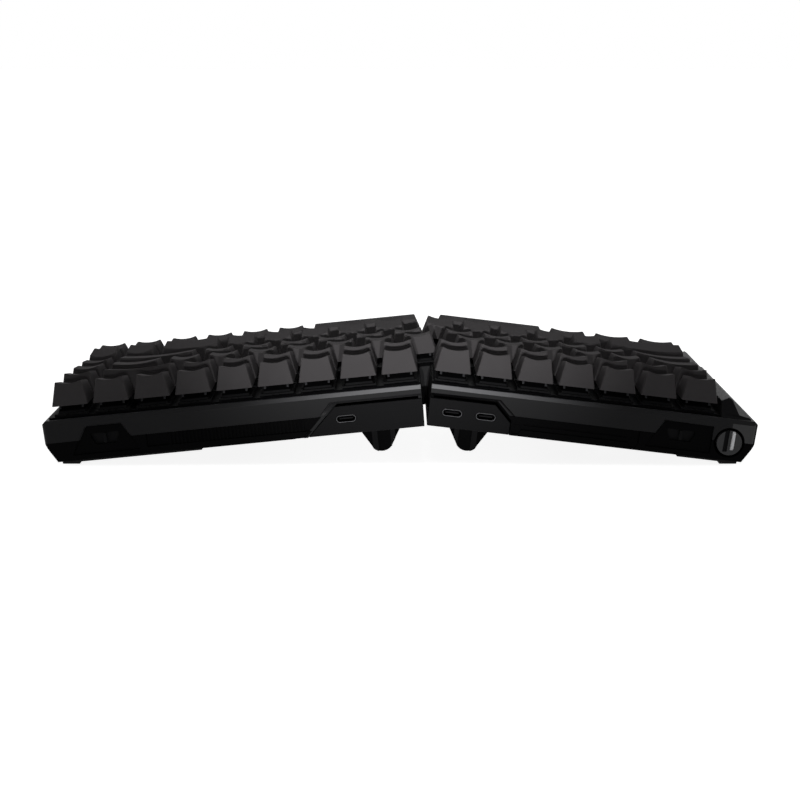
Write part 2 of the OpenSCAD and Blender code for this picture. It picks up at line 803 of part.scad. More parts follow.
// A block under a socket, which carries the port board
module port_stand(x) {
    low = port_board_top - port_board_t;
    deep = back_y - panel_setback - port_l;
    translate([x, 0, 0]) box([-port_w / 2, port_w / 2], [deep, deep + port_stand_l], [EPS, low]);
}

module right_strip_cut() {
    box([right_panel_top, right_strip_end + fit], [back_y - tray_wall - 1, back_y + 1],
        [strip_low - fit, seam_h + 1]);
}

module left_strip_cut() {
    box([-left_panel_top, -left_strip_end - fit], [back_y - tray_wall - 1, back_y + 1],
        [strip_low - fit, seam_h + 1]);
    studs(back_y - stud_sink - fit, stud_d + 2 * fit, stud_sink + 1);
}

// Two hexagonal studs at the ends of the left strip
module studs(from, across_d, height) {
    for (x = [-left_panel_foot - stud_d / 2 - 2 * fit, stud_d / 2 - left_strip_end])
        translate([x, from, strip_low]) rotate([-90, 0, 0]) cylinder(d = across_d, h = height, $fn = 6);
}

// Sockets

module stadium(width, height) {
    run = width - height;
    square([run, height], center = true);
    for (x = [-run / 2, run / 2]) translate([x, 0]) circle(d = height);
}

module port_hole(x) {
    translate([x, 0, port_h]) upright(back_y + 1, rear_rim + 1) stadium(port_w + 2 * fit, port_t + 2 * fit);
}

module usb_port(x) {
    mouth = back_y - panel_setback;
    tongue_w = port_w - 2 * port_wall - 2 * tongue_side;
    translate([x, 0, port_h]) {
        difference() {
            upright(mouth, port_l) stadium(port_w, port_t);
            upright(mouth + 1, port_l - port_lip) stadium(port_w - 2 * port_wall, port_t - 2 * port_wall);
        }
        box([-tongue_w / 2, tongue_w / 2], [mouth - port_l + EPS, mouth - tongue_set],
            [-tongue_t / 2, tongue_t / 2]);
    }
}

module port_board(first, last) {
    low = min(first, last) - port_w / 2 - port_board_margin;
    high = max(first, last) + port_w / 2 + port_board_margin;
    back = back_y - panel_setback - panel_t - slide_fit;
    box([low, high], [back - port_board_l, back], [port_board_top - port_board_t, port_board_top]);
}

// Slide switches

// The insert drawn by its child, with a window and two rails that guide the slider behind it
module switch_insert(middle) {
    front = back_y - panel_setback;
    wide = window_w / 2 + slider_side;
    high = window_h / 2 + slider_side + slide_fit;
    difference() {
        union() {
            upright(front, panel_t) children();
            for (z = [slide_h - high - guide_t, slide_h + high])
                box([middle - wide, middle + wide],
                    [front - panel_t - slide_fit - slider_t, front - panel_t + EPS], [z, z + guide_t]);
        }
        upright(front + 1, panel_t + 2) window_outline(middle, 0);
    }
}

module power_slider(middle) {
    front = back_y - panel_setback - panel_t - slide_fit;
    wide = window_w / 2 + slider_side + slide_travel / 2;
    high = window_h / 2 + slider_side;
    box([middle - wide, middle + wide], [front - slider_t, front], [slide_h - high, slide_h + high]);
    box([middle - slider_bar / 2, middle + slider_bar / 2], [front - EPS, front + slide_fit + panel_t],
        [slide_h - window_h / 2 + slide_fit, slide_h + window_h / 2 - slide_fit]);
}

// Feet

function tangent(from, centre, r) =
    let (d = centre - from, reach = norm(d), turn = asin(r / reach), bearing = atan2(d[1], d[0]))
    from + sqrt(reach * reach - r * r) * [cos(bearing + turn), sin(bearing + turn)];

// A foot about its own hinge, open. Fold is 1 where it folds to the front, -1 where it folds to the back.
module foot(x, hinge_y, fold) {
    half = foot_w / 2;
    channel_w = foot_tip_r * 1.2;
    channel_t = foot_t / 4;
    centre = [0, -tip_drop - hinge_h];
    corner = [half, -foot_root - hinge_h];
    touch = tangent(corner, centre, foot_tip_r * 0.97);
    translate([x, hinge_y, hinge_h]) difference() {
        union() {
            upright(foot_t / 2, foot_t) polygon([[-half, 0], [half, 0], corner, touch,
                [-touch[0], touch[1]], [-half, corner[1]]]);
            translate([0, foot_t / 2, centre[1]]) rotate([90, 0, 0]) cylinder(r = foot_tip_r, h = foot_t);
            translate([-half, 0, 0]) rotate([0, 90, 0]) cylinder(r = knuckle_r, h = foot_w);
        }
        rotate([0, 90, 0]) cylinder(d = pin_d + 2 * pin_fit, h = 2 * foot_w, center = true);
        box([-channel_w / 2, channel_w / 2], [fold * (foot_t / 2 - channel_t), fold * foot_t],
            [-foot_reach - hinge_h - 1, -hinge_h - 1]);
    }
}

module foot_pins(side) {
    for (y = [rear_hinge_y, front_hinge_y]) translate([side * foot_x, 0, 0]) hinge_pin(y, 0);
}

// Outer pads: a strip under the tray with a sole at its outer edge, cut level with the table
module pad_pair(edge, side, run) {
    for (y = [back_y - corner_r - pad_l, front_y + corner_r]) {
        box([side * (edge - pad_w), side * edge], [y, y + pad_l], [-pad_w, 0]);
        box([side * (edge - run), side * edge], [y, y + pad_l], [-pad_sheet_t, 0]);
    }
}

module over_table() {
    translate([-500, -500, 0]) cube([1000, 1000, 500]);
}

module screws(places) {
    for (x = places, y = screw_rows) translate([x, y, screw_sink]) {
        cylinder(d = screw_head_d, h = screw_head_t);
        cylinder(d = screw_d, h = seam_h - screw_sink + boss_d);
    }
}

shell_tone = "#4a4a4c";
tray_tone = "#2b2b2d";
cap_tone = "#3c3c3f";
switch_tone = "#1d1d1f";
metal_tone = "#b9bbbe";
rubber_tone = "#161617";
board_tone = "#1f3b2a";

module left_bottom_case() {
    color(tray_tone) left_place() difference() {
        tray(-1, left_x, left_screws_at, [-left_port_x, -left_port_x - port_spacing]);
        left_back_cuts();
        left_strip_cut();
    }
}

module right_bottom_case() {
    color(tray_tone) right_place() difference() {
        tray(1, right_x, right_screws_at, [right_port_x]);
        right_back_cuts();
        right_strip_cut();
    }
}

module left_top_frame() {
    color(shell_tone) left_place() difference() {
        upper_shell(-1, left_x, left_plate_x);
        left_back_cuts();
    }
}

module right_top_frame() {
    color(shell_tone) right_place() difference() {
        upper_shell(1, right_x, right_plate_x);
        right_back_cuts();
    }
}

module left_switch_plate() {
    color(shell_tone) left_place() switch_plate(-1, left_plate_x, left_keys, left_screws_at);
}

module right_switch_plate() {
    color(shell_tone) right_place() switch_plate(1, right_plate_x, right_keys, right_screws_at);
}

module left_circuit_board() {
    color(board_tone) left_place() circuit_board(-1, left_plate_x, left_screws_at);
}

module right_circuit_board() {
    color(board_tone) right_place() circuit_board(1, right_plate_x, right_screws_at);
}

module left_switch_housings() {
    color(switch_tone) left_place() switch_housings(left_keys);
}

module right_switch_housings() {
    color(switch_tone) right_place() switch_housings(right_keys);
}

module left_stabilisers() {
    color(switch_tone) left_place() stabilisers(left_keys);
}

module right_stabilisers() {
    color(switch_tone) right_place() stabilisers(right_keys);
}

module left_port_panel() {
    color(shell_tone) left_place() difference() {
        upright(back_y - panel_setback, panel_t) left_panel_outline(0, 0, 0);
        port_hole(-left_port_x);
        port_hole(-left_port_x - port_spacing);
    }
}

module right_port_panel() {
    color(shell_tone) right_place() difference() {
        upright(back_y - panel_setback, panel_t) right_panel_outline(0, 0, 0);
        port_hole(right_port_x);
    }
}

module left_port_board() {
    color(board_tone) left_place() port_board(-left_port_x, -left_port_x - port_spacing);
}

module right_port_board() {
    color(board_tone) right_place() port_board(right_port_x, right_port_x);
}

module left_usb_ports() {
    color(metal_tone) left_place() for (x = [-left_port_x, -left_port_x - port_spacing]) usb_port(x);
}

module right_usb_port() {
    color(metal_tone) right_place() usb_port(right_port_x);
}

module left_rear_trim() {
    front = back_y - groove;
    first = -left_panel_foot - stud_d - 2 * groove;
    last = -left_strip_end + stud_d + groove;
    groove_h = (2 * strip_low + seam_h) / 3;
    color(tray_tone) left_place() difference() {
        union() {
            box([-left_panel_top, -left_strip_end], [back_y - tray_wall, front], [strip_low, seam_h - fit]);
            studs(back_y - stud_sink, stud_d, stud_sink - groove / 2);
        }
        upright(back_y + 1, tray_wall + 2) left_panel_outline(2 * fit, panel_shadow, 1);
        box([first, last], [front - groove, back_y + 1], [groove_h, groove_h + groove]);
    }
}

module right_rear_grille() {
    front = back_y - rib_sink;
    first = right_panel_foot + rib_pitch;
    color(tray_tone) right_place() difference() {
        union() {
            box([right_panel_top + fit, right_strip_end], [back_y - tray_wall, front],
                [strip_low, seam_h - fit]);
            for (i = [0:rib_count - 1])
                translate([first + i * rib_pitch, 0, 0])
                    box([0, rib_w], [front - EPS, back_y - rib_sink / 3], [strip_low, seam_h - fit]);
        }
        upright(back_y + 1, tray_wall + 2) right_panel_outline(2 * fit, panel_shadow, 1);
    }
}

module left_switch_insert() {
    color(tray_tone) left_place() switch_insert(-left_slide_x) left_insert_outline(0);
}

module right_switch_insert() {
    color(tray_tone) right_place() switch_insert(right_slide_x) right_insert_outline(0);
}

module left_power_slider() {
    color(shell_tone) left_place() power_slider(-left_slide_x);
}

module right_power_slider() {
    color(shell_tone) right_place() power_slider(right_slide_x);
}

module selector_knob() {
    face = back_y + knob_proud;
    color(metal_tone) left_place() translate([-knob_x, 0, knob_h]) {
        difference() {
            translate([0, face, 0]) rotate([90, 0, 0]) cylinder(d = knob_d, h = knob_t);
            box([fin_w / 2, fin_w * 2], [face - knob_t / 3, face + 1], [-knob_d / 3, knob_d / 2 + 1]);
        }
        box([-fin_w * 1.5, -fin_w / 2], [face - EPS, face + fin_h], [-knob_d / 4, knob_d * 0.46]);
        translate([0, face - knob_t + EPS, 0]) rotate([90, 0, 0]) cylinder(d = shaft_d, h = encoder_l);
    }
}

module selector_encoder() {
    color(switch_tone) left_place() difference() {
        translate([-knob_x, 0, 0])
            box([-encoder_w / 2, encoder_w / 2], [encoder_back - encoder_l, encoder_back],
                [tray_floor, tray_floor + encoder_h]);
        translate([-knob_x, back_y, knob_h]) rotate([90, 0, 0])
            cylinder(d = shaft_d + 2 * pin_fit, h = rear_rim + encoder_l - 1);
    }
}

module side_rail() {
    start = -left_units * key_pitch - plate_margin - 2 * fit;
    ridge = -left_units * key_pitch - ridge_x;
    foot = -left_units * key_pitch - rail_foot_x;
    edge = left_x + rail_side;
    top = deck_h + rail_h;
    rail_back = back_y - rail_setback;
    rail_front = front_y + rail_setback;
    color(shell_tone) left_place() intersection() {
        upright(rail_back, rail_back - rail_front) polygon([[start, rim_h], [start, deck_h + rail_inner_h],
            [ridge, top], [ridge - rail_bevel_w, top - rail_bevel_h], [foot, rim_h + rail_shelf],
            [edge, rim_h + rail_edge], [edge, rim_h]]);
        across(left_x, -left_x) polygon([[rail_back, rim_h], [rail_back - rail_end_lean, top],
            [rail_front + rail_end_lean, top], [rail_front, rim_h]]);
    }
}

module battery_pack() {
    color(metal_tone) left_place() translate([battery_x, battery_y, tray_floor])
        translate([-battery_w / 2, -battery_l / 2, 0]) cube([battery_w, battery_l, battery_t]);
}

module left_foot_pins() {
    color(metal_tone) left_place() foot_pins(-1);
}

module right_foot_pins() {
    color(metal_tone) right_place() foot_pins(1);
}

module left_rear_foot() {
    color(rubber_tone) left_place() foot(-foot_x, rear_hinge_y, 1);
}

module left_front_foot() {
    color(rubber_tone) left_place() foot(-foot_x, front_hinge_y, -1);
}

module right_rear_foot() {
    color(rubber_tone) right_place() foot(foot_x, rear_hinge_y, 1);
}

module right_front_foot() {
    color(rubber_tone) right_place() foot(foot_x, front_hinge_y, -1);
}

module left_rubber_pads() {
    color(rubber_tone) intersection() {
        left_place() pad_pair(left_pad_x, -1, left_pad_run);
        over_table();
    }
}

module right_rubber_pads() {
    color(rubber_tone) intersection() {
        right_place() pad_pair(right_pad_x, 1, right_pad_run);
        over_table();
    }
}

module left_screws() {
    color(metal_tone) left_place() screws(left_screws_at);
}

module right_screws() {
    color(metal_tone) right_place() screws(right_screws_at);
}

module left_key_group(keys) {
    color(cap_tone) left_place() key_caps(keys);
}

module right_key_group(keys) {
    color(cap_tone) right_place() key_caps(keys);
}

left_bottom_case();
left_top_frame();
left_switch_plate();
left_circuit_board();
left_switch_housings();
left_stabilisers();
left_port_panel();
left_port_board();
left_usb_ports();
left_rear_trim();
left_switch_insert();
left_power_slider();
selector_knob();
selector_encoder();
side_rail();
battery_pack();
left_foot_pins();
left_rear_foot();
left_front_foot();
left_rubber_pads();
left_screws();
right_bottom_case();
right_top_frame();
right_switch_plate();
right_circuit_board();
right_switch_housings();
right_stabilisers();
right_port_panel();
right_port_board();
right_usb_port();
right_rear_grille();
right_switch_insert();
right_power_slider();
right_foot_pins();
right_rear_foot();
right_front_foot();
right_rubber_pads();
right_screws();
left_key_group(left_function);  // left_function_keys
left_key_group(left_number);  // left_number_keys
left_key_group(tab);  // tab_key
left_key_group(left_upper);  // left_upper_letter_keys
left_key_group(caps);  // caps_key
left_key_group(left_home);  // left_home_letter_keys
left_key_group(left_shift);  // left_shift_key
left_key_group(left_lower);  // left_lower_letter_keys
left_key_group(left_modifier);  // left_modifier_keys
left_key_group(left_space);  // left_space_bar
right_key_group(right_function);  // right_function_keys
right_key_group(right_number);  // right_number_keys
right_key_group(backspace);  // backspace_key
right_key_group(right_upper);  // right_upper_letter_keys
right_key_group(right_home);  // right_home_letter_keys
right_key_group(enter);  // enter_key
right_key_group(right_lower);  // right_lower_letter_keys
right_key_group(right_shift);  // right_shift_key
right_key_group(arrow);  // arrow_keys
right_key_group(navigation);  // navigation_keys
right_key_group(right_modifier);  // right_modifier_keys
right_key_group(right_space);  // right_space_bar
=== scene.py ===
import math
import bmesh
import bpy
from mathutils import Matrix, Vector


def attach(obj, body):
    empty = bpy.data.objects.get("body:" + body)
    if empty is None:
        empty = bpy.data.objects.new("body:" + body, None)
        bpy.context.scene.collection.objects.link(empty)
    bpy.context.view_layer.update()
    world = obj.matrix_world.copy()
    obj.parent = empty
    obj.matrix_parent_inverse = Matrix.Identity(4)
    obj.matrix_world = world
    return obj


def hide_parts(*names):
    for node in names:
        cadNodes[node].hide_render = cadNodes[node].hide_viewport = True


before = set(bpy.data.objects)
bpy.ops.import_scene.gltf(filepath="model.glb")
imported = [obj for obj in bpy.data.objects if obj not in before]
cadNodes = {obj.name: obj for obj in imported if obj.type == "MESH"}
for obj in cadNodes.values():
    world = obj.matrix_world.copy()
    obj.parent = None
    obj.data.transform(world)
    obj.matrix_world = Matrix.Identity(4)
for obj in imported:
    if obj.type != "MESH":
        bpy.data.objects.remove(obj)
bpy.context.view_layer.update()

# each half is modelled flat, in mm: x from the split, y from the back of the keys, z from the underside
stand = {
    "splitX": -11.779233,
    "splitY": 56.45,
    "right": {"tent": 5.76054, "lift": 18.524523},
    "left": {"tent": -6.863784, "lift": 18.917383},
}

# in mm and degrees; facing and leaning are the least share of a normal along an axis, strict and loose
meshWork = {
    "mergeAt": 0.004, "flatAngle": 1, "smoothAngle": 33, "sharpAngle": 25, "sliver": 0.002,
    "facing": 0.9, "leaning": 0.5,
}


def placeOf(half):
    pose = stand[half]
    spot = Vector((stand["splitX"], stand["splitY"], pose["lift"])) / 1000
    turn = Matrix.Rotation(math.radians(pose["tent"]), 4, "Y")
    return Matrix.Translation(spot) @ turn @ Matrix.Scale(0.001, 4)


def deselectAll():
    if bpy.context.mode != "OBJECT":
        bpy.ops.object.mode_set(mode="OBJECT")
    bpy.ops.object.select_all(action="DESELECT")


def makeActive(piece):
    deselectAll()
    piece.select_set(True)
    bpy.context.view_layer.objects.active = piece


def editMode(piece):
    makeActive(piece)
    bpy.ops.object.mode_set(mode="EDIT")


def pickFaces(test):  # test gets a face's middle and normal
    bpy.ops.mesh.select_mode(type="FACE")
    bpy.ops.mesh.select_all(action="DESELECT")
    mesh = bmesh.from_edit_mesh(bpy.context.object.data)
    mesh.normal_update()
    for face in mesh.faces:
        if test(face.calc_center_median(), face.normal):
            face.select_set(True)
    bmesh.update_edit_mesh(bpy.context.object.data)


def pickEdges(test):  # test gets an edge's two ends
    bpy.ops.mesh.select_mode(type="EDGE")
    bpy.ops.mesh.select_all(action="DESELECT")
    mesh = bmesh.from_edit_mesh(bpy.context.object.data)
    for edge in mesh.edges:
        if test(edge.verts[0].co, edge.verts[1].co):
            edge.select_set(True)
    bmesh.update_edit_mesh(bpy.context.object.data)


def movePoints(change):  # change gets a point and gives its new place
    mesh = bmesh.from_edit_mesh(bpy.context.object.data)
    for vert in mesh.verts:
        vert.co = change(vert.co.copy())
    bmesh.update_edit_mesh(bpy.context.object.data)


def addBlock(name, low, high):
    deselectAll()
    middle = [(a + b) / 2 for a, b in zip(low, high)]
    bpy.ops.mesh.primitive_cube_add(size=1, location=middle)
    block = bpy.context.object
    block.name = name
    block.scale = [b - a for a, b in zip(low, high)]
    bpy.ops.object.transform_apply(location=True, rotation=True, scale=True)
    return block


def addPrism(name, outline, back, depth):  # an x-z outline, from its back face in by depth
    deselectAll()
    mesh = bpy.data.meshes.new(name)
    points = [(x, back, z) for x, z in outline]
    mesh.from_pydata(points, [], [range(len(points))])
    prism = bpy.data.objects.new(name, mesh)
    bpy.context.scene.collection.objects.link(prism)
    editMode(prism)
    bpy.ops.mesh.select_all(action="SELECT")
    bpy.ops.mesh.extrude_region_move(TRANSFORM_OT_translate={"value": (0, -depth, 0)})
    bpy.ops.mesh.select_all(action="SELECT")
    bpy.ops.mesh.normals_make_consistent(inside=False)
    deselectAll()
    return prism


def addRod(radius, length, sides, spot, turn=(0, 0, 0)):
    deselectAll()
    bpy.ops.mesh.primitive_cylinder_add(vertices=sides, radius=radius, depth=length, location=spot,
                                        rotation=[math.radians(angle) for angle in turn])
    bpy.ops.object.transform_apply(location=True, rotation=True, scale=True)
    return bpy.context.object


def copyTo(name, shape, spot):
    twin = bpy.data.objects.new(name, shape.data.copy())
    bpy.context.scene.collection.objects.link(twin)
    twin.data.transform(Matrix.Translation(spot))
    return twin


def copyOfNode(name, node, half):
    deselectAll()
    mesh = cadNodes[node].data.copy()
    mesh.materials.clear()
    mesh.transform(placeOf(half).inverted())
    piece = bpy.data.objects.new(name, mesh)
    bpy.context.scene.collection.objects.link(piece)
    makeActive(piece)
    bpy.ops.mesh.customdata_custom_splitnormals_clear()
    bpy.ops.object.mode_set(mode="EDIT")
    bpy.ops.mesh.select_all(action="SELECT")
    bpy.ops.mesh.remove_doubles(threshold=meshWork["mergeAt"])
    bpy.ops.mesh.dissolve_limited(angle_limit=math.radians(meshWork["flatAngle"]))
    bpy.ops.object.mode_set(mode="OBJECT")
    return piece


def cutFrom(piece, cutter):
    makeActive(piece)
    cut = piece.modifiers.new("cut", "BOOLEAN")
    cut.object, cut.operation, cut.solver = cutter, "DIFFERENCE", "EXACT"
    bpy.ops.object.modifier_apply(modifier="cut")
    bpy.data.objects.remove(cutter)


def softenEdges(piece, width, segments=2, angle=30, clamp=True):
    makeActive(piece)
    if width:
        edge = piece.modifiers.new("edge", "BEVEL")
        edge.width, edge.segments = width, segments
        edge.limit_method, edge.angle_limit = "ANGLE", math.radians(angle)
        edge.use_clamp_overlap = clamp
        bpy.ops.object.modifier_apply(modifier="edge")
    bpy.ops.object.shade_smooth_by_angle(angle=math.radians(meshWork["smoothAngle"]))
    flat = piece.modifiers.new("flat", "WEIGHTED_NORMAL")
    flat.keep_sharp = True
    bpy.ops.object.modifier_apply(modifier="flat")


def softenLongEdges(piece, width, shortest):  # leaves the short chords of arcs as they are
    editMode(piece)
    bpy.ops.mesh.select_mode(type="EDGE")
    bpy.ops.mesh.select_all(action="DESELECT")
    mesh = bmesh.from_edit_mesh(piece.data)
    sharp = math.radians(meshWork["sharpAngle"])
    for edge in mesh.edges:
        if edge.calc_length() > shortest and edge.calc_face_angle(0) > sharp:
            edge.select_set(True)
    bmesh.update_edit_mesh(piece.data)
    bpy.ops.mesh.bevel(offset=width, segments=2, affect="EDGES")
    bpy.ops.mesh.select_all(action="SELECT")
    bpy.ops.mesh.dissolve_degenerate(threshold=meshWork["sliver"])
    bpy.ops.object.mode_set(mode="OBJECT")
    softenEdges(piece, 0)


def joinPieces(name, pieces):
    deselectAll()
    for piece in pieces:
        piece.select_set(True)
    bpy.context.view_layer.objects.active = pieces[0]
    bpy.ops.object.join()
    pieces[0].name = name
    return pieces[0]


def settle(piece, half, body, replaced=()):
    piece.matrix_world = placeOf(half)
    makeActive(piece)
    bpy.ops.object.transform_apply(location=True, rotation=True, scale=True)
    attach(piece, body)
    if replaced:
        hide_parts(*replaced)


# finishes

def linear(hexColour):
    parts = [int(hexColour[i:i + 2], 16) / 255 for i in (1, 3, 5)]
    return [c / 12.92 if c <= 0.04045 else ((c + 0.055) / 1.055) ** 2.4 for c in parts] + [1]


def addNode(tree, kind, sockets=None, **settings):
    node = tree.nodes.new(kind)
    for name, value in settings.items():
        setattr(node, name, value)
    for name, value in (sockets or {}).items():
        if isinstance(value, bpy.types.NodeSocket):
            tree.links.new(value, node.inputs[name])
        else:
            node.inputs[name].default_value = value
    return node


def perMetre(size):  # a pattern's scale from its size in mm
    return 1000 / size


mould = {
    "cloudDetail": 4, "cloudRough": 0.6, "grainDetail": 2, "grainRough": 0.5, "grainSpan": (0.3, 0.7),
    "reliefPart": 4,   # the grain is this many times wider than deep
}


def moulded(name, look):  # grain off the mould's etched wall, a faint unevenness of tone, and where asked a painted highlight towards the split
    material = bpy.data.materials.new(name)
    material.use_nodes = True
    tree = material.node_tree
    shader = tree.nodes["Principled BSDF"]
    shader.inputs["IOR"].default_value = look["ior"]
    shader.inputs["Specular IOR Level"].default_value = look["shine"]
    shader.inputs["Metallic"].default_value = look.get("metal", 0)
    place = addNode(tree, "ShaderNodeTexCoord").outputs["Object"]
    stretch = look.get("stretch", (1, 1, 1))
    drawn = addNode(tree, "ShaderNodeMapping", {"Vector": place, "Scale": stretch}).outputs["Vector"]
    cloud = addNode(tree, "ShaderNodeTexNoise",
                    {"Vector": place, "Scale": perMetre(look["cloud"]),
                     "Detail": mould["cloudDetail"], "Roughness": mould["cloudRough"]})
    grain = addNode(tree, "ShaderNodeTexNoise",
                    {"Vector": drawn, "Scale": perMetre(look["grain"]),
                     "Detail": mould["grainDetail"], "Roughness": mould["grainRough"]})
    tone = addNode(tree, "ShaderNodeMix",
                   {0: cloud.outputs["Fac"], 6: linear(look["dark"]), 7: linear(look["light"])},
                   data_type="RGBA")
    colour = tone.outputs[2]
    if "highlightTone" in look:  # painted highlight: paler towards the split, standing in for the light that falls on the rim there
        along = addNode(tree, "ShaderNodeSeparateXYZ", {"Vector": place}).outputs["X"]
        fromSplit = addNode(tree, "ShaderNodeMath", {0: along, 1: stand["splitX"] / 1000},
                            operation="SUBTRACT")
        off = addNode(tree, "ShaderNodeMath", {0: fromSplit.outputs[0]}, operation="ABSOLUTE")
        highlightFade = addNode(tree, "ShaderNodeMapRange",
                       {"Value": off.outputs[0], "From Min": 0, "From Max": look["highlightReach"] / 1000,
                        "To Min": 1, "To Max": 0}, interpolation_type="SMOOTHSTEP")
        mixed = addNode(tree, "ShaderNodeMix",
                        {0: highlightFade.outputs["Result"], 6: colour, 7: linear(look["highlightTone"])}, data_type="RGBA")
        colour = mixed.outputs[2]
    least, most = mould["grainSpan"]
    low, high = look["rough"]
    rough = addNode(tree, "ShaderNodeMapRange",
                    {"Value": grain.outputs["Fac"], "From Min": least, "From Max": most,
                     "To Min": low, "To Max": high})
    bump = addNode(tree, "ShaderNodeBump",
                   {"Height": grain.outputs["Fac"], "Strength": look["relief"],
                    "Distance": look["grain"] / (1000 * mould["reliefPart"])})
    tree.links.new(colour, shader.inputs["Base Color"])
    tree.links.new(rough.outputs["Result"], shader.inputs["Roughness"])
    tree.links.new(bump.outputs["Normal"], shader.inputs["Normal"])
    return material


# the etched grains are 0.1 to 0.2 mm, drawn 0.4 to 0.8 mm so that they show at this distance
finishes = {
    "cap": moulded("pbtKeycapMoulded", {   # PBT, dry and matt, hardly any highlight
        "dark": "#3f3d3e", "light": "#484647", "rough": (0.5, 0.64), "ior": 1.5, "shine": 0.001,
        "cloud": 22, "grain": 0.5, "relief": 0.25}),
    "shell": moulded("absShellSatin", {    # satin ABS, a low even sheen
        "dark": "#1b1b1c", "light": "#212122", "rough": (0.36, 0.48), "ior": 1.5, "shine": 0.05,
        "cloud": 45, "grain": 0.6, "relief": 0.2}),
    "edge": moulded("absEdgePaintedHighlight", {   # the shell's plastic, with a painted highlight: paler along the rim towards the split
        "dark": "#1d1d1e", "light": "#232324", "rough": (0.32, 0.42), "ior": 1.5, "shine": 0.04,
        "cloud": 45, "grain": 0.6, "relief": 0.1, "highlightTone": "#727274", "highlightReach": 95}),
    "panel": moulded("absPanelFine", {     # fine matt inlay, darker than the shell round it
        "dark": "#0e0e0f", "light": "#121213", "rough": (0.46, 0.58), "ior": 1.5, "shine": 0.03,
        "cloud": 40, "grain": 0.5, "relief": 0.2}),
    "tray": moulded("absTrayEtched", {     # deeper etch, nearly no highlight
        "dark": "#040404", "light": "#070708", "rough": (0.5, 0.64), "ior": 1.5, "shine": 0.015,
        "cloud": 45, "grain": 0.7, "relief": 0.35}),
    "plate": moulded("polycarbonatePlateGloss", {  # smooth plate that stays dark under the caps
        "dark": "#060607", "light": "#09090a", "rough": (0.3, 0.4), "ior": 1.58, "shine": 0.003,
        "cloud": 60, "grain": 0.8, "relief": 0.05}),
    "switch": moulded("nylonHousingMoulded", {     # glass-filled nylon, dull
        "dark": "#040404", "light": "#060607", "rough": (0.5, 0.66), "ior": 1.5, "shine": 0.003,
        "cloud": 12, "grain": 0.4, "relief": 0.3}),
    "flange": moulded("polycarbonateFlangeFrosted", {   # smoke-grey frosted polycarbonate
        "dark": "#161617", "light": "#1e1e1f", "rough": (0.5, 0.62), "ior": 1.58, "shine": 0.006,
        "cloud": 8, "grain": 0.4, "relief": 0.2}),
    "latch": moulded("polycarbonateLatchClear", {       # paler, nearly clear snap hooks
        "dark": "#2c2c2e", "light": "#38383a", "rough": (0.3, 0.42), "ior": 1.58, "shine": 0.1,
        "cloud": 6, "grain": 0.4, "relief": 0.2}),
    "socket": moulded("nickelSocketDark", {        # dark nickel over deep-drawn steel
        "dark": "#4a4a4c", "light": "#58585a", "rough": (0.26, 0.38), "ior": 1.5, "shine": 0.5, "metal": 1,
        "cloud": 6, "grain": 0.35, "relief": 0.1, "stretch": (1, 0.12, 1)}),
    "steel": moulded("stainlessSteelDrawn", {      # drawn sheet, fine lines along the draw
        "dark": "#a2a2a4", "light": "#c4c4c6", "rough": (0.2, 0.36), "ior": 1.5, "shine": 0.5, "metal": 1,
        "cloud": 10, "grain": 0.4, "relief": 0.12, "stretch": (1, 0.12, 1)}),
    "knob": moulded("absKnobSatin", {      # satin ABS, a shade lighter than the shell; also laid on the band's corner as painted light
        "dark": "#29292a", "light": "#323233", "rough": (0.34, 0.46), "ior": 1.5, "shine": 0.2,
        "cloud": 14, "grain": 0.45, "relief": 0.2}),
    "fin": moulded("finPaintedHighlight", {     # painted highlight: near-white, for the light caught on the fin's raised face
        "dark": "#dcdcde", "light": "#ececee", "rough": (0.3, 0.42), "ior": 1.5, "shine": 0.5,
        "cloud": 9, "grain": 0.4, "relief": 0.12}),
    "board": moulded("fibreglassBoardLacquered", {  # solder lacquer over copper, weave just felt
        "dark": "#0c1f16", "light": "#133023", "rough": (0.28, 0.42), "ior": 1.5, "shine": 0.5,
        "cloud": 5, "grain": 0.8, "relief": 0.3}),
    "rubber": moulded("siliconeRubberPad", {       # moulded silicone, no highlight
        "dark": "#0b0b0b", "light": "#141414", "rough": (0.72, 0.88), "ior": 1.43, "shine": 0.2,
        "cloud": 9, "grain": 0.6, "relief": 0.4}),
    "foil": moulded("laminateFoilBattery", {       # aluminium laminate, softly wrinkled
        "dark": "#8d8f90", "light": "#b0b2b3", "rough": (0.26, 0.42), "ior": 1.5, "shine": 0.5, "metal": 1,
        "cloud": 14, "grain": 3.0, "relief": 0.5}),
}
print("finishes:", len(finishes))


def paint(piece, *names):
    piece.data.materials.clear()
    for name in names:
        piece.data.materials.append(finishes[name])


# keycaps: modelled once for each row and width, then copied to their places
keycap = {
    "pitch": 19.05, "gap": 2.35, "skirt": 25.0, "splitUnit": 7, "spaceUnits": 3, "wideUnits": 2,
    "heights": ((10.9, 8.6), (10.9, 8.6), (9.4, 8.2), (8.4, 7.0), (7.6, 9.3), (6.4, 7.1)),  # back, front
    "sideLean": 2.2, "backLean": 3.2, "frontLean": 2.4,
    "dish": 1.1, "strips": 8, "stripEdge": 2.2, "wall": 1.3, "roof": 1.2,
    "corner": 0.7, "cornerSteps": 4, "rim": 0.24, "rimSteps": 3, "upright": 5, "topNear": 0.05,
    "stemWide": 6.6, "sideStemWide": 3.3, "stemDeep": 5.4, "stemLow": -5.35, "stemTop": 0.35, "stemEdge": 0.3,
    "post": 5.5, "postSides": 24, "postEdge": 0.2, "postSunk": 0.3, "postGap": 0.05,
    "wideReach": 11.9, "spaceReach": 19.05, "topFacing": 0.8, "underFacing": -0.99,
}


def run(row, first, count, units=1):
    return [(row, first + i * units, units) for i in range(count)]


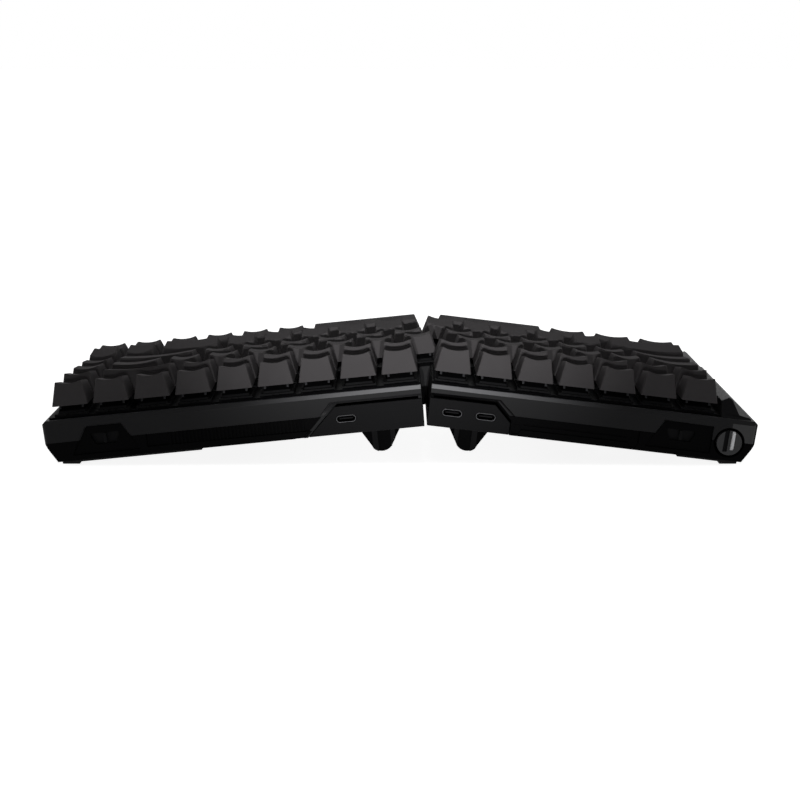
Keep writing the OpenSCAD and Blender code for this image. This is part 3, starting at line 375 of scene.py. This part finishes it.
keyGroups = {
    "left_function_keys": run(0, 0, 7), "left_number_keys": run(1, 0, 7),
    "tab_key": [(2, 0, 1.5)], "left_upper_letter_keys": run(2, 1.5, 5),
    "caps_key": [(3, 0, 1.75)], "left_home_letter_keys": run(3, 1.75, 5),
    "left_shift_key": [(4, 0, 2.25)], "left_lower_letter_keys": run(4, 2.25, 5),
    "left_modifier_keys": run(5, 0, 3, 1.25), "left_space_bar": [(5, 3.75, 3.125)],
    "right_function_keys": run(0, 7, 9), "right_number_keys": run(1, 7, 6), "backspace_key": [(1, 13, 2)],
    "right_upper_letter_keys": run(2, 6.5, 7) + [(2, 13.5, 1.5)],
    "right_home_letter_keys": run(3, 6.75, 6), "enter_key": [(3, 12.75, 2.25)],
    "right_lower_letter_keys": run(4, 7.25, 5), "right_shift_key": [(4, 12.25, 1.75)],
    "arrow_keys": [(4, 14, 1), (5, 13, 1), (5, 14, 1), (5, 15, 1)],
    "navigation_keys": [(row, 15, 1) for row in (1, 2, 3, 4)],
    "right_modifier_keys": run(5, 10, 3), "right_space_bar": [(5, 6.875, 3.125)],
}
leftNodes = ("tab_key", "caps_key", "side_rail")   # besides those that say left


def halfOf(node):
    return "left" if node.startswith("left_") or node in leftNodes else "right"


def spotOf(key):
    row, first, units = key
    return ((first + units / 2 - keycap["splitUnit"]) * keycap["pitch"], -(row + 0.5) * keycap["pitch"])


def shapeCap(row, units):
    back, front = keycap["heights"][row]
    high = max(back, front)
    halfW = (units * keycap["pitch"] - keycap["gap"]) / 2
    halfD = (keycap["pitch"] - keycap["gap"]) / 2
    topBack, topFront = halfD - keycap["backLean"], keycap["frontLean"] - halfD
    cap = addBlock("cap", (-halfW, -halfD, 0), (halfW, halfD, high))
    bpy.ops.object.mode_set(mode="EDIT")

    def lean(point):
        if point.z < high / 2:
            return point
        top = back if point.y > 0 else front
        x = math.copysign(halfW - keycap["sideLean"] * top / high, point.x)
        return Vector((x, topBack if point.y > 0 else topFront, top))

    movePoints(lean)
    pickEdges(lambda a, b: abs(a.z - b.z) > keycap["upright"])
    bpy.ops.mesh.bevel(offset=keycap["corner"], segments=keycap["cornerSteps"], affect="EDGES")

    halfTop = halfW - keycap["sideLean"]
    strips = keycap["strips"]
    for i in range(strips - 1):  # strips across the top for the scoop
        x = (2 * i / (strips - 2) - 1) * (halfTop - keycap["stripEdge"])
        pickFaces(lambda middle, normal: normal.z > keycap["topFacing"])
        bpy.ops.mesh.bisect(plane_co=(x, 0, 0), plane_no=(1, 0, 0))

    def scoop(point):
        level = front + (back - front) * (point.y - topFront) / (topBack - topFront)
        if point.z > level - keycap["topNear"] and units < keycap["spaceUnits"]:
            drop = keycap["dish"] * (1 - min(1, abs(point.x) / halfTop) ** 2)
            point.z -= drop
            if point.y > 0:  # down along the leaning faces, so that they stay flat
                point.y += drop * keycap["backLean"] / back
            else:
                point.y -= drop * keycap["frontLean"] / front
        return point

    movePoints(scoop)
    bpy.ops.object.mode_set(mode="OBJECT")
    softenEdges(cap, keycap["rim"], keycap["rimSteps"], clamp=False)
    ceiling = min(back, front) - keycap["dish"] - keycap["roof"]
    editMode(cap)
    pickFaces(lambda middle, normal: normal.z < keycap["underFacing"])
    bpy.ops.mesh.inset(thickness=keycap["wall"] - keycap["rim"], depth=0)
    bpy.ops.mesh.extrude_region_move(TRANSFORM_OT_translate={"value": (0, 0, ceiling)})
    narrow = 1 - keycap["sideLean"] * ceiling / high / (halfW - keycap["wall"])
    shallow = 1 - (keycap["backLean"] + keycap["frontLean"]) * ceiling / high / 2 / (halfD - keycap["wall"])
    bpy.ops.transform.resize(value=(narrow, shallow, 1), center_override=(0, 0, ceiling))
    shift = (keycap["frontLean"] - keycap["backLean"]) * ceiling / high / 2
    bpy.ops.transform.translate(value=(0, shift, 0))
    bpy.ops.object.mode_set(mode="OBJECT")
    softenEdges(cap, 0)
    paint(cap, "cap")
    parts = [cap]
    reach = keycap["spaceReach"] if units >= keycap["spaceUnits"] else keycap["wideReach"]
    stems = [(0, keycap["stemWide"])]
    if units >= keycap["wideUnits"]:
        stems += [(-reach, keycap["sideStemWide"]), (reach, keycap["sideStemWide"])]
    for x, wide in stems:
        stem = addBlock("stem", (x - wide / 2, -keycap["stemDeep"] / 2, keycap["stemLow"]),
                        (x + wide / 2, keycap["stemDeep"] / 2, keycap["stemTop"]))
        softenEdges(stem, keycap["stemEdge"])
        foot, head = keycap["stemTop"] + keycap["postGap"], ceiling + keycap["postSunk"]
        post = addRod(keycap["post"] / 2, head - foot, keycap["postSides"], (x, 0, (head + foot) / 2))
        softenEdges(post, keycap["postEdge"], segments=1, angle=60)
        paint(stem, "switch")
        paint(post, "cap")
        parts += [stem, post]
    return joinPieces("cap", parts)


capShapes = {}
for node, keys in keyGroups.items():
    copies = []
    for key in keys:
        row, units = key[0], key[2]
        if (row, units) not in capShapes:
            capShapes[row, units] = shapeCap(row, units)
        copies.append(copyTo("cap", capShapes[row, units], (*spotOf(key), keycap["skirt"])))
    piece = joinPieces(node.replace("_keys", "_caps").replace("_key", "_cap").replace("_bar", "_cap"), copies)
    settle(piece, halfOf(node), node, (node,))
for shape in capShapes.values():
    bpy.data.objects.remove(shape)
print("keycaps:", sum(len(keys) for keys in keyGroups.values()), "of", len(capShapes), "shapes")


# switches: a pale flange on the plate, a dark upper housing with its well, four pale latches
switchBody = {
    "body": 13.9, "bodyLow": 15.4, "deck": 20.4, "flange": 15.6, "flangeTop": 21.25,
    "base": 13.2, "topWide": 10.2, "topDeep": 9.0, "top": 25.25, "wellWide": 7.2, "wellFloor": 0.3,
    "notches": ((-2.3, -1.0), (1.0, 2.3)), "notchDeep": 0.7, "belt": 22.2,
    "corner": 0.6, "cornerSteps": 2, "edge": 0.18, "upright": 2,
    "latchX": 5.25, "latchWide": 0.95, "latchIn": 0.4, "latchOut": 0.25, "latchLow": 23.2, "latchTop": 24.5,
}


def shapeSwitch():
    s = switchBody
    half, base = s["flange"] / 2, s["base"] / 2
    flange = addBlock("flange", (-half, -half, s["deck"]), (half, half, s["flangeTop"]))
    bpy.ops.object.mode_set(mode="EDIT")
    for edge in [x for notch in s["notches"] for x in notch]:
        bpy.ops.mesh.select_all(action="SELECT")
        bpy.ops.mesh.bisect(plane_co=(edge, 0, 0), plane_no=(1, 0, 0))
    for side in (-1, 1):  # the two notches at the back and the front
        pickFaces(lambda middle, normal: normal.y * side > meshWork["facing"]
                  and any(a < middle.x < b for a, b in s["notches"]))
        bpy.ops.mesh.extrude_region_move(TRANSFORM_OT_translate={"value": (0, -side * s["notchDeep"], 0)})
    bpy.ops.object.mode_set(mode="OBJECT")
    paint(flange, "flange")

    low = s["body"] / 2
    lower = addBlock("lower", (-low, -low, s["bodyLow"]), (low, low, s["deck"]))
    upper = addBlock("upper", (-base, -base, s["flangeTop"]), (base, base, s["top"]))
    bpy.ops.object.mode_set(mode="EDIT")
    pickFaces(lambda middle, normal: normal.z > meshWork["facing"])
    shrink = (s["topWide"] / s["base"], s["topDeep"] / s["base"], 1)
    bpy.ops.transform.resize(value=shrink, center_override=(0, 0, s["top"]))
    pickEdges(lambda a, b: abs(a.z - b.z) > s["upright"])
    bpy.ops.mesh.bevel(offset=s["corner"], segments=s["cornerSteps"], affect="EDGES")
    pickFaces(lambda middle, normal: abs(normal.z) < meshWork["facing"])
    bpy.ops.mesh.bisect(plane_co=(0, 0, s["belt"]), plane_no=(0, 0, 1))
    pickFaces(lambda middle, normal: normal.z > meshWork["facing"])
    bpy.ops.mesh.inset(thickness=(s["topWide"] - s["wellWide"]) / 2, depth=0)
    sunk = s["flangeTop"] + s["wellFloor"] - s["top"]
    bpy.ops.mesh.extrude_region_move(TRANSFORM_OT_translate={"value": (0, 0, sunk)})
    bpy.ops.object.mode_set(mode="OBJECT")
    softenEdges(upper, s["edge"], segments=1, angle=40, clamp=False)
    paint(upper, "switch", "flange")
    for polygon in upper.data.polygons:  # the pale lower edge of the housing
        outside = max(abs(polygon.center.x), abs(polygon.center.y)) > s["topWide"] / 2
        polygon.material_index = int(outside and polygon.center.z < s["belt"])
    paint(lower, "switch")
    parts = [upper, lower, flange]
    rise = s["top"] - s["flangeTop"]
    latchMiddle = (s["latchLow"] + s["latchTop"]) / 2
    for side in (-1, 1):
        for x in (-s["latchX"], s["latchX"]):
            deep = [base - (base - s["topDeep"] / 2) * (z - s["flangeTop"]) / rise
                    for z in (s["latchLow"], s["latchTop"])]
            latch = addBlock("latch", (x - s["latchWide"] / 2, -s["latchIn"], s["latchLow"]),
                             (x + s["latchWide"] / 2, s["latchOut"], s["latchTop"]))
            bpy.ops.object.mode_set(mode="EDIT")
            movePoints(lambda p: Vector((p.x, side * (p.y + deep[p.z > latchMiddle]), p.z)))
            bpy.ops.mesh.select_all(action="SELECT")
            bpy.ops.mesh.normals_make_consistent(inside=False)
            bpy.ops.object.mode_set(mode="OBJECT")
            paint(latch, "latch")
            parts.append(latch)
    return joinPieces("switch", parts)


switchShape = shapeSwitch()
for half in ("left", "right"):
    halfKeys = [key for node, keys in keyGroups.items() if halfOf(node) == half for key in keys]
    copies = [copyTo("switch", switchShape, (*spotOf(key), 0)) for key in halfKeys]
    print(half, "switches:", len(copies))
    piece = joinPieces(half + "_switches", copies)
    settle(piece, half, half + "_half", (half + "_switch_housings",))
bpy.data.objects.remove(switchShape)


# case: the solids' own shapes with broken edges, facets and scored lines round the openings at the back
case = {
    "backY": 3.8, "edge": 0.2, "shortest": 12, "facet": 1.1, "insertFacet": 0.7,
    "rightOpening": (-1, 57), "leftOpening": (-43, 1), "rightInsert": (130, 164), "leftInsert": (-132, -100),
    "openingLow": 14, "openingTop": 15.8, "rimLow": 17.5,
    "rightLines": (((60, 0), (56.4, 0), (42.4, 15.5), (0, 15.5)),),
    "leftLines": (((0, 15.5), (-32.4, 15.8), (-40.6, 8.4)),), "lineWide": 0.55, "lineDeep": 0.7,
    "leftGroove": ((-30.3, 14.2), (-31.2, 13.4), (-39.2, 5.6)), "grooveWide": 1.1, "grooveDeep": 0.7,
    "knobAt": (-139.3, 8.5), "knobRing": 7.1, "ringSides": 72, "ringDeep": 0.9, "ringFloor": 0.4,
    "cornerFrom": -139.6, "seam": 9.2, "bandTop": 17.7, "overrun": 0.5,
    "slant": 0.5, "backNear": 0.05, "shortSide": 2, "rimSlope": (0.4, 0.95), "bandFacing": 0.2,
}


def stripOutline(points, wide):  # a line of x-z points, widened
    path = [Vector(point) for point in points]
    upper, lower = [], []
    for i, point in enumerate(path):
        ways = [(path[j + 1] - path[j]).normalized() for j in (i - 1, i) if 0 <= j < len(path) - 1]
        way = sum(ways, Vector((0, 0))).normalized()
        side = Vector((-way.y, way.x)) * wide / 2 / way.dot(ways[0])
        upper.append(tuple(point + side))
        lower.append(tuple(point - side))
    return upper + lower[::-1]


def scoreLine(piece, points, wide, deep):
    outside = case["overrun"]
    cutFrom(piece, addPrism("line", stripOutline(points, wide), case["backY"] + outside, deep + outside))


def sinkRing(piece):  # the shallow round recess that the selector sits in
    x, z = case["knobAt"]
    spot = x, case["backY"], z
    cutFrom(piece, addRod(case["knobRing"], 2 * case["ringDeep"], case["ringSides"], spot, (90, 0, 0)))


def facetEdges(piece, span, top, width):  # the slanted sides and the top of an opening
    def onOpening(a, b):
        inside = span[0] < min(a.x, b.x) and max(a.x, b.x) < span[1] and max(a.z, b.z) < top
        slant = abs(a.x - b.x) > case["slant"] and abs(a.z - b.z) > case["slant"]
        atBack = min(a.y, b.y) > case["backY"] - case["backNear"] and (a - b).length > case["shortSide"]
        return inside and atBack and (slant or min(a.z, b.z) > case["openingLow"])

    editMode(piece)
    pickEdges(onOpening)
    bpy.ops.mesh.bevel(offset=width, segments=1, affect="EDGES")
    bpy.ops.object.mode_set(mode="OBJECT")


for half in ("left", "right"):
    for node, slotName in ((half + "_top_frame", "shell"), (half + "_bottom_case", "tray")):
        piece = copyOfNode(node + "_dressed", node, half)
        facetEdges(piece, case[half + "Opening"], case["openingTop"], case["facet"])
        facetEdges(piece, case[half + "Insert"], case["openingTop"], case["insertFacet"])
        softenLongEdges(piece, case["edge"], case["shortest"])
        for points in case[half + "Lines"]:
            scoreLine(piece, points, case["lineWide"], case["lineDeep"])
        if half == "left":
            scoreLine(piece, case["leftGroove"], case["grooveWide"], case["grooveDeep"])
            sinkRing(piece)
            editMode(piece)
            pickFaces(lambda middle, normal: normal.y > meshWork["leaning"])
            bpy.ops.mesh.bisect(plane_co=(case["cornerFrom"], 0, 0), plane_no=(1, 0, 0))
        softenEdges(piece, 0)
        paint(piece, slotName, "edge", "knob", "tray")
        least, most = case["rimSlope"]
        for polygon in piece.data.polygons:
            middle, normal = polygon.center, polygon.normal
            polygon.material_index = 0
            if least < normal.z < most and middle.z > case["rimLow"]:  # the sloping faces of the rim, in the edge plastic with its painted highlight towards the split
                polygon.material_index = 1
                continue
            onBand = case["seam"] < middle.z < case["bandTop"] and normal.y > case["bandFacing"]
            if half == "left" and onBand:
                if middle.y < case["backY"] - case["ringFloor"]:  # painted shade: faces sunk into the band, the selector's recess and the cut lines among them, painted in the near-black tray plastic
                    polygon.material_index = 3
                elif middle.x < case["cornerFrom"]:  # painted light: the band's corner end, painted in the lighter knob plastic for the light that falls on it from the side
                    polygon.material_index = 2
        settle(piece, half, half + "_half", (node,))
print("case: four shells")

# smaller fittings that keep their solid's shape: edge width, finish, slot, body
fittings = {
    "side_rail": (0.4, "panel", "shell", "left_half"),
    "left_port_panel": (0.18, "panel", "shell", "left_half"),
    "right_port_panel": (0.18, "panel", "shell", "right_half"),
    "left_rear_trim": (0.15, "tray", "tray", "left_half"),
    "right_rear_grille": (0.12, "tray", "tray", "right_half"),
    "left_switch_insert": (0.15, "tray", "tray", "left_half"),
    "right_switch_insert": (0.15, "tray", "tray", "right_half"),
    "left_power_slider": (0.15, "panel", "shell", "left_power_slider"),
    "right_power_slider": (0.15, "panel", "shell", "right_power_slider"),
    "left_rubber_pads": (0.3, "rubber", "rubber", "left_half"),
    "right_rubber_pads": (0.3, "rubber", "rubber", "right_half"),
}
rail = {"backEnd": 1, "foot": 21.2, "base": 19.5, "top": 28.1, "lowRamp": 5.5, "highRamp": 2.0}


def rampEnd(piece):  # the rail's end runs down in a shallow ramp
    editMode(piece)
    bpy.ops.mesh.select_all(action="SELECT")
    bpy.ops.mesh.bisect(plane_co=(0, 0, rail["foot"]), plane_no=(0, 0, 1))

    def lean(point):
        if point.y > rail["backEnd"]:
            low = (min(point.z, rail["foot"]) - rail["base"]) / (rail["foot"] - rail["base"])
            high = max(0, point.z - rail["foot"]) / (rail["top"] - rail["foot"])
            point.y -= rail["lowRamp"] * low + rail["highRamp"] * high
        return point

    movePoints(lean)
    bpy.ops.object.mode_set(mode="OBJECT")


surround = {"points": ((55.0, 0.2), (42.1, 13.3)), "wide": 1.5, "back": 3.55, "thick": 0.9, "edge": 0.3}


def shapeSurround():  # the raised bar beside the right panel's slanted side, painted in the paler shell plastic as a painted highlight for the light its facet catches
    outline = stripOutline(surround["points"], surround["wide"])
    bar = addPrism("bar", outline, surround["back"], surround["thick"])
    softenEdges(bar, surround["edge"], angle=40)
    # painted highlight: the bar in the paler shell plastic
    paint(bar, "shell")
    return bar


for node, (width, finish, slotName, body) in fittings.items():
    half = halfOf(node)
    piece = copyOfNode(node + "_dressed", node, half)
    if node == "side_rail":
        rampEnd(piece)
    softenEdges(piece, width, angle=28, clamp=False)
    paint(piece, finish)
    if node == "right_port_panel":
        piece = joinPieces(piece.name, [piece, shapeSurround()])
    settle(piece, half, body, (node,))
print("fittings:", len(fittings))

# feet: a dark tongue with a round tip and two ribs on the face that shows, the ribs' faces painted paler as
# painted light
feet = {
    "x": 21.7, "rearY": -22.2, "frontY": -92.3, "hinge": 2.8, "half": 9.5, "thick": 4.4, "root": 8.3,
    "tipR": 5.8, "tipDrop": 13.4, "touch": (4.86, -16.24), "tipFrom": -36, "tipStep": 6, "tipSteps": 19,
    "knuckle": 2.25, "knuckleSides": 36, "knuckleEdge": 0.2, "edge": 0.22, "ribFace": 0.3, "below": -30,
    "sunk": ((6.7, 12), (-1.7, 4.5), (-12, -4.3)), "sunkDeep": 1.1, "sunkTop": -3.8,  # from the axis inward
}


def shapeFoot(half, end):
    f = feet
    side = 1 if half == "right" else -1
    face = 1 if end == "rear" else -1
    turns = [math.radians(f["tipFrom"] - f["tipStep"] * i) for i in range(f["tipSteps"])]
    arc = [(f["tipR"] * math.cos(a), f["tipR"] * math.sin(a) - f["tipDrop"]) for a in turns]
    outline = [(-f["half"], 0), (f["half"], 0), (f["half"], -f["root"]), f["touch"], *arc,
               (-f["touch"][0], f["touch"][1]), (-f["half"], -f["root"])]
    foot = addPrism("foot", outline, f["thick"] / 2, f["thick"])
    softenEdges(foot, f["edge"], angle=40)
    paint(foot, "tray", "panel")
    for near, far in f["sunk"]:
        a, b = sorted((-side * near, -side * far))
        c, d = sorted((face * (f["thick"] / 2 - f["sunkDeep"]), face * f["thick"]))
        cutFrom(foot, addBlock("sunk", (a, c, f["below"]), (b, d, f["sunkTop"])))
    softenEdges(foot, 0)
    for polygon in foot.data.polygons:  # the ribs' faces: painted highlight in the paler panel plastic, for the light on the proud ribs
        outermost = polygon.center.y * face > f["thick"] / 2 - f["ribFace"]
        polygon.material_index = int(polygon.normal.y * face > meshWork["leaning"] and outermost)
    knuckle = addRod(f["knuckle"], 2 * f["half"], f["knuckleSides"], (0, 0, 0), (0, 90, 0))
    softenEdges(knuckle, f["knuckleEdge"], angle=60)
    paint(knuckle, "tray")
    piece = joinPieces("%s_%s_foot_dressed" % (half, end), [foot, knuckle])
    piece.data.transform(Matrix.Translation((side * f["x"], f[end + "Y"], f["hinge"])))
    return piece


for half in ("left", "right"):
    for end in ("rear", "front"):
        node = "%s_%s_foot" % (half, end)
        settle(shapeFoot(half, end), half, node, (node,))
print("feet: four")


# selector: a disc with a slot whose faces are painted dark as painted shade, and a fin that points up,
# painted near-white as a painted highlight
selector = {
    "x": -139.3, "z": 8.5, "radius": 5.8, "face": 4.2, "thick": 2.2, "edge": 0.18, "sides": 72,
    "slot": (0.65, 2.6), "slotLow": -4.17, "slotDeep": 0.73, "overrun": 1, "near": 0.05, "nearDeep": 0.1,
    "fin": (-1.95, -0.65), "finLow": -3.1, "finTop": 5.6, "finProud": 1.2,
    "finSunk": 0.3, "finChamfer": 0.9, "finAcross": 1, "finEdge": 0.15,
    "shaft": 4.0, "shaftLong": 8.0, "shaftSides": 32, "shaftEdge": 0.3,
}


def shapeSelector():
    s = selector
    discY = s["face"] - s["thick"] / 2
    disc = addRod(s["radius"], s["thick"], s["sides"], (s["x"], discY, s["z"]), (90, 0, 0))
    cutFrom(disc, addBlock("slot", (s["x"] + s["slot"][0], s["face"] - s["slotDeep"], s["z"] + s["slotLow"]),
                           (s["x"] + s["slot"][1], s["face"] + s["overrun"],
                            s["z"] + s["radius"] + s["overrun"])))
    softenEdges(disc, s["edge"], angle=40)
    paint(disc, "knob", "panel")
    for polygon in disc.data.polygons:  # painted shade: the slot's faces are painted in the darker panel plastic
        across = polygon.center.x - s["x"]
        sunk = s["face"] - s["slotDeep"] - s["nearDeep"] < polygon.center.y < s["face"] - s["near"]
        polygon.material_index = int(sunk and s["slot"][0] - s["near"] < across < s["slot"][1] + s["near"])
    fin = addBlock("fin", (s["x"] + s["fin"][0], s["face"] - s["finSunk"], s["z"] + s["finLow"]),
                   (s["x"] + s["fin"][1], s["face"] + s["finProud"], s["z"] + s["finTop"]))
    bpy.ops.object.mode_set(mode="EDIT")
    pickEdges(lambda a, b: min(a.y, b.y) > s["face"] and abs(a.x - b.x) > s["finAcross"])
    bpy.ops.mesh.bevel(offset=s["finChamfer"], segments=1, affect="EDGES")
    bpy.ops.object.mode_set(mode="OBJECT")
    softenEdges(fin, s["finEdge"])
    # painted highlight: the fin is painted near-white
    paint(fin, "fin")
    shaftY = s["face"] - s["thick"] - s["shaftLong"] / 2
    shaft = addRod(s["shaft"] / 2, s["shaftLong"], s["shaftSides"], (s["x"], shaftY, s["z"]), (90, 0, 0))
    softenEdges(shaft, s["shaftEdge"], segments=1, angle=60)
    paint(shaft, "steel")
    return joinPieces("selector_knob_dressed", [disc, fin, shaft])


settle(shapeSelector(), "left", "selector_knob", ("selector_knob",))

# sockets: a drawn shell with round ends, its inside painted dark, and a tongue; the dark on the inner walls
# is painted shade
socket = {
    "left_usb_ports": (-11.3, -26.8), "right_usb_port": (35.9,),
    "z": 7.1, "wide": 8.94, "high": 3.26, "wall": 0.26, "mouth": 3.0, "long": 7.3, "deep": 6.3,
    "tongueWide": 6.2, "tongueHigh": 0.7, "tongueSet": 1.0, "tongueEdge": 0.15, "edge": 0.08, "paintedShadeFrom": 0.1,
    "straight": 0.02, "roundSteps": 8, "longEdge": 3,   # straight: what the round ends leave of the sides
}


def shapeSocket(x):
    s = socket
    shell = addBlock("shell", (x - s["wide"] / 2, s["mouth"] - s["long"], s["z"] - s["high"] / 2),
                     (x + s["wide"] / 2, s["mouth"], s["z"] + s["high"] / 2))
    bpy.ops.object.mode_set(mode="EDIT")
    pickEdges(lambda a, b: abs(a.y - b.y) > s["longEdge"])
    bpy.ops.mesh.bevel(offset=s["high"] / 2 - s["straight"], segments=s["roundSteps"], affect="EDGES")
    pickFaces(lambda middle, normal: normal.y > meshWork["facing"])
    bpy.ops.mesh.inset(thickness=s["wall"], depth=0)
    bpy.ops.mesh.extrude_region_move(TRANSFORM_OT_translate={"value": (0, -s["deep"], 0)})
    bpy.ops.object.mode_set(mode="OBJECT")
    softenEdges(shell, s["edge"], segments=1, angle=50, clamp=False)
    paint(shell, "socket", "switch")
    for polygon in shell.data.polygons:  # painted shade on the inner walls, in the near-black housing plastic, which also covers the floor at the back where the socket has its own dark plastic
        across, up = abs(polygon.center.x - x), abs(polygon.center.z - s["z"])
        within = across < s["wide"] / 2 - s["wall"] / 2 and up < s["high"] / 2 - s["wall"] / 2
        polygon.material_index = int(within and polygon.center.y < s["mouth"] - s["paintedShadeFrom"])
    halfWide, halfHigh = s["tongueWide"] / 2, s["tongueHigh"] / 2
    tongue = addBlock("tongue", (x - halfWide, s["mouth"] - s["deep"], s["z"] - halfHigh),
                      (x + halfWide, s["mouth"] - s["tongueSet"], s["z"] + halfHigh))
    softenEdges(tongue, s["tongueEdge"])
    paint(tongue, "flange")
    return [shell, tongue]


for node in ("left_usb_ports", "right_usb_port"):
    half = node.split("_")[0]
    parts = [part for x in socket[node] for part in shapeSocket(x)]
    settle(joinPieces(node + "_dressed", parts), half, half + "_half", (node,))
print("selector and sockets done")

# solids that stay as they are, inside the case or on its underside
kept = {
    "left_switch_plate": "plate", "right_switch_plate": "plate",
    "left_circuit_board": "board", "right_circuit_board": "board",
    "left_port_board": "board", "right_port_board": "board",
    "left_stabilisers": "switch", "right_stabilisers": "switch", "selector_encoder": "switch",
    "left_foot_pins": "steel", "right_foot_pins": "steel", "left_screws": "steel", "right_screws": "steel",
    "battery_pack": "foil",
}
for node, finish in kept.items():
    cadNodes[node].data.materials.clear()
    cadNodes[node].data.materials.append(finishes[finish])
print("kept solids:", len(kept))

# studio: white sweep, two low lamps behind the keyboard that fall off to its ends, weaker fills all round
studio = {
    "camera": (0, 0.68977, 0.18315), "down": 13.586, "lens": 63.97,
    "keyTurns": (-2.5, 2.5), "keyReach": 0.93, "keyHigh": 0.125,
    "keyAim": (-0.002, 0.05, 0.1), "keyRadius": 0.025,
    "beams": ((18, 16), (2.6, 60)),   # power and cone: the beam itself, and the weak skirt round it
    "fills": (((0, 0.095, 0.21), 0.06, 0.05), ((0, -1.3, 0.75), 1.0, 9),
              ((-1.3, -0.1, 0.45), 0.6, 5), ((1.3, -0.1, 0.45), 0.6, 5)),   # place, size and power
    "fillAim": (0, 0, 0.03), "sensor": 36,
    "paper": "#d8d8d8", "paperRough": 0.9, "ambient": 0.08,
    "floorNear": 0.88, "floorFar": 1.0, "floorFade": (0.3, 1.0), "floorSize": 40,
}


def aimAt(lamp, target):
    lamp.rotation_euler = (Vector(target) - lamp.location).to_track_quat("-Z", "Y").to_euler()


deselectAll()
bpy.ops.object.camera_add(location=studio["camera"],
                          rotation=(math.radians(90 - studio["down"]), 0, math.radians(180)))
camera = bpy.context.object
camera.data.lens, camera.data.sensor_width = studio["lens"], studio["sensor"]
bpy.context.scene.camera = camera

for turn in [math.radians(angle) for angle in studio["keyTurns"]]:
    aimX, aimY = studio["keyAim"][:2]
    reach = studio["keyReach"]
    spot = (aimX + reach * math.sin(turn), aimY + reach * math.cos(turn), studio["keyHigh"])
    for power, cone in studio["beams"]:
        bpy.ops.object.light_add(type="SPOT", radius=studio["keyRadius"], location=spot)
        key = bpy.context.object
        key.data.energy, key.data.spot_blend = power, 1
        key.data.spot_size = math.radians(cone) * math.cos(turn)
        aimAt(key, studio["keyAim"])
for spot, size, power in studio["fills"]:
    bpy.ops.object.light_add(type="AREA", location=spot)
    fill = bpy.context.object
    fill.data.size, fill.data.energy = size, power
    aimAt(fill, studio["fillAim"])
    fill.visible_camera = False


def showsWhite(tree):  # one for the rays that see the background itself
    path = addNode(tree, "ShaderNodeLightPath")
    seen = addNode(tree, "ShaderNodeMath",
                   {0: path.outputs["Is Camera Ray"], 1: path.outputs["Is Glossy Ray"]}, operation="MAXIMUM")
    return addNode(tree, "ShaderNodeMath", {0: seen.outputs[0], 1: path.outputs["Is Transmission Ray"]},
                   operation="MAXIMUM").outputs[0]


deselectAll()
bpy.ops.mesh.primitive_plane_add(size=studio["floorSize"])
floor = bpy.context.object
floor.name = "floor"
paper = bpy.data.materials.new("paperSweepMatt")  # plain white paper, keeps a faint shadow
paper.use_nodes = True
tree = paper.node_tree
shader = tree.nodes["Principled BSDF"]
shader.inputs["Base Color"].default_value = linear(studio["paper"])
shader.inputs["Roughness"].default_value = studio["paperRough"]
shader.inputs["Specular IOR Level"].default_value = 0
shader.inputs["Emission Color"].default_value = (1, 1, 1, 1)
place = addNode(tree, "ShaderNodeTexCoord").outputs["Object"]
away = addNode(tree, "ShaderNodeVectorMath", {0: place}, operation="LENGTH").outputs["Value"]
white = addNode(tree, "ShaderNodeMapRange",   # the far sweep is lit on its own, so that it stays white
                {"Value": away, "From Min": studio["floorFade"][0], "From Max": studio["floorFade"][1],
                 "To Min": studio["floorNear"], "To Max": studio["floorFar"]})
glow = addNode(tree, "ShaderNodeMath", {0: showsWhite(tree), 1: white.outputs["Result"]},
               operation="MULTIPLY")
tree.links.new(glow.outputs[0], shader.inputs["Emission Strength"])
floor.data.materials.append(paper)

scene = bpy.context.scene
if scene.world is None:
    scene.world = bpy.data.worlds.new("studio")
scene.world.use_nodes = True
tree = scene.world.node_tree
sky = tree.nodes["Background"]
sky.inputs["Color"].default_value = (1, 1, 1, 1)
level = addNode(tree, "ShaderNodeMapRange",
                {"Value": showsWhite(tree), "To Min": studio["ambient"], "To Max": 1})
tree.links.new(level.outputs["Result"], sky.inputs["Strength"])
scene.view_settings.view_transform = "Standard"
print("studio set")
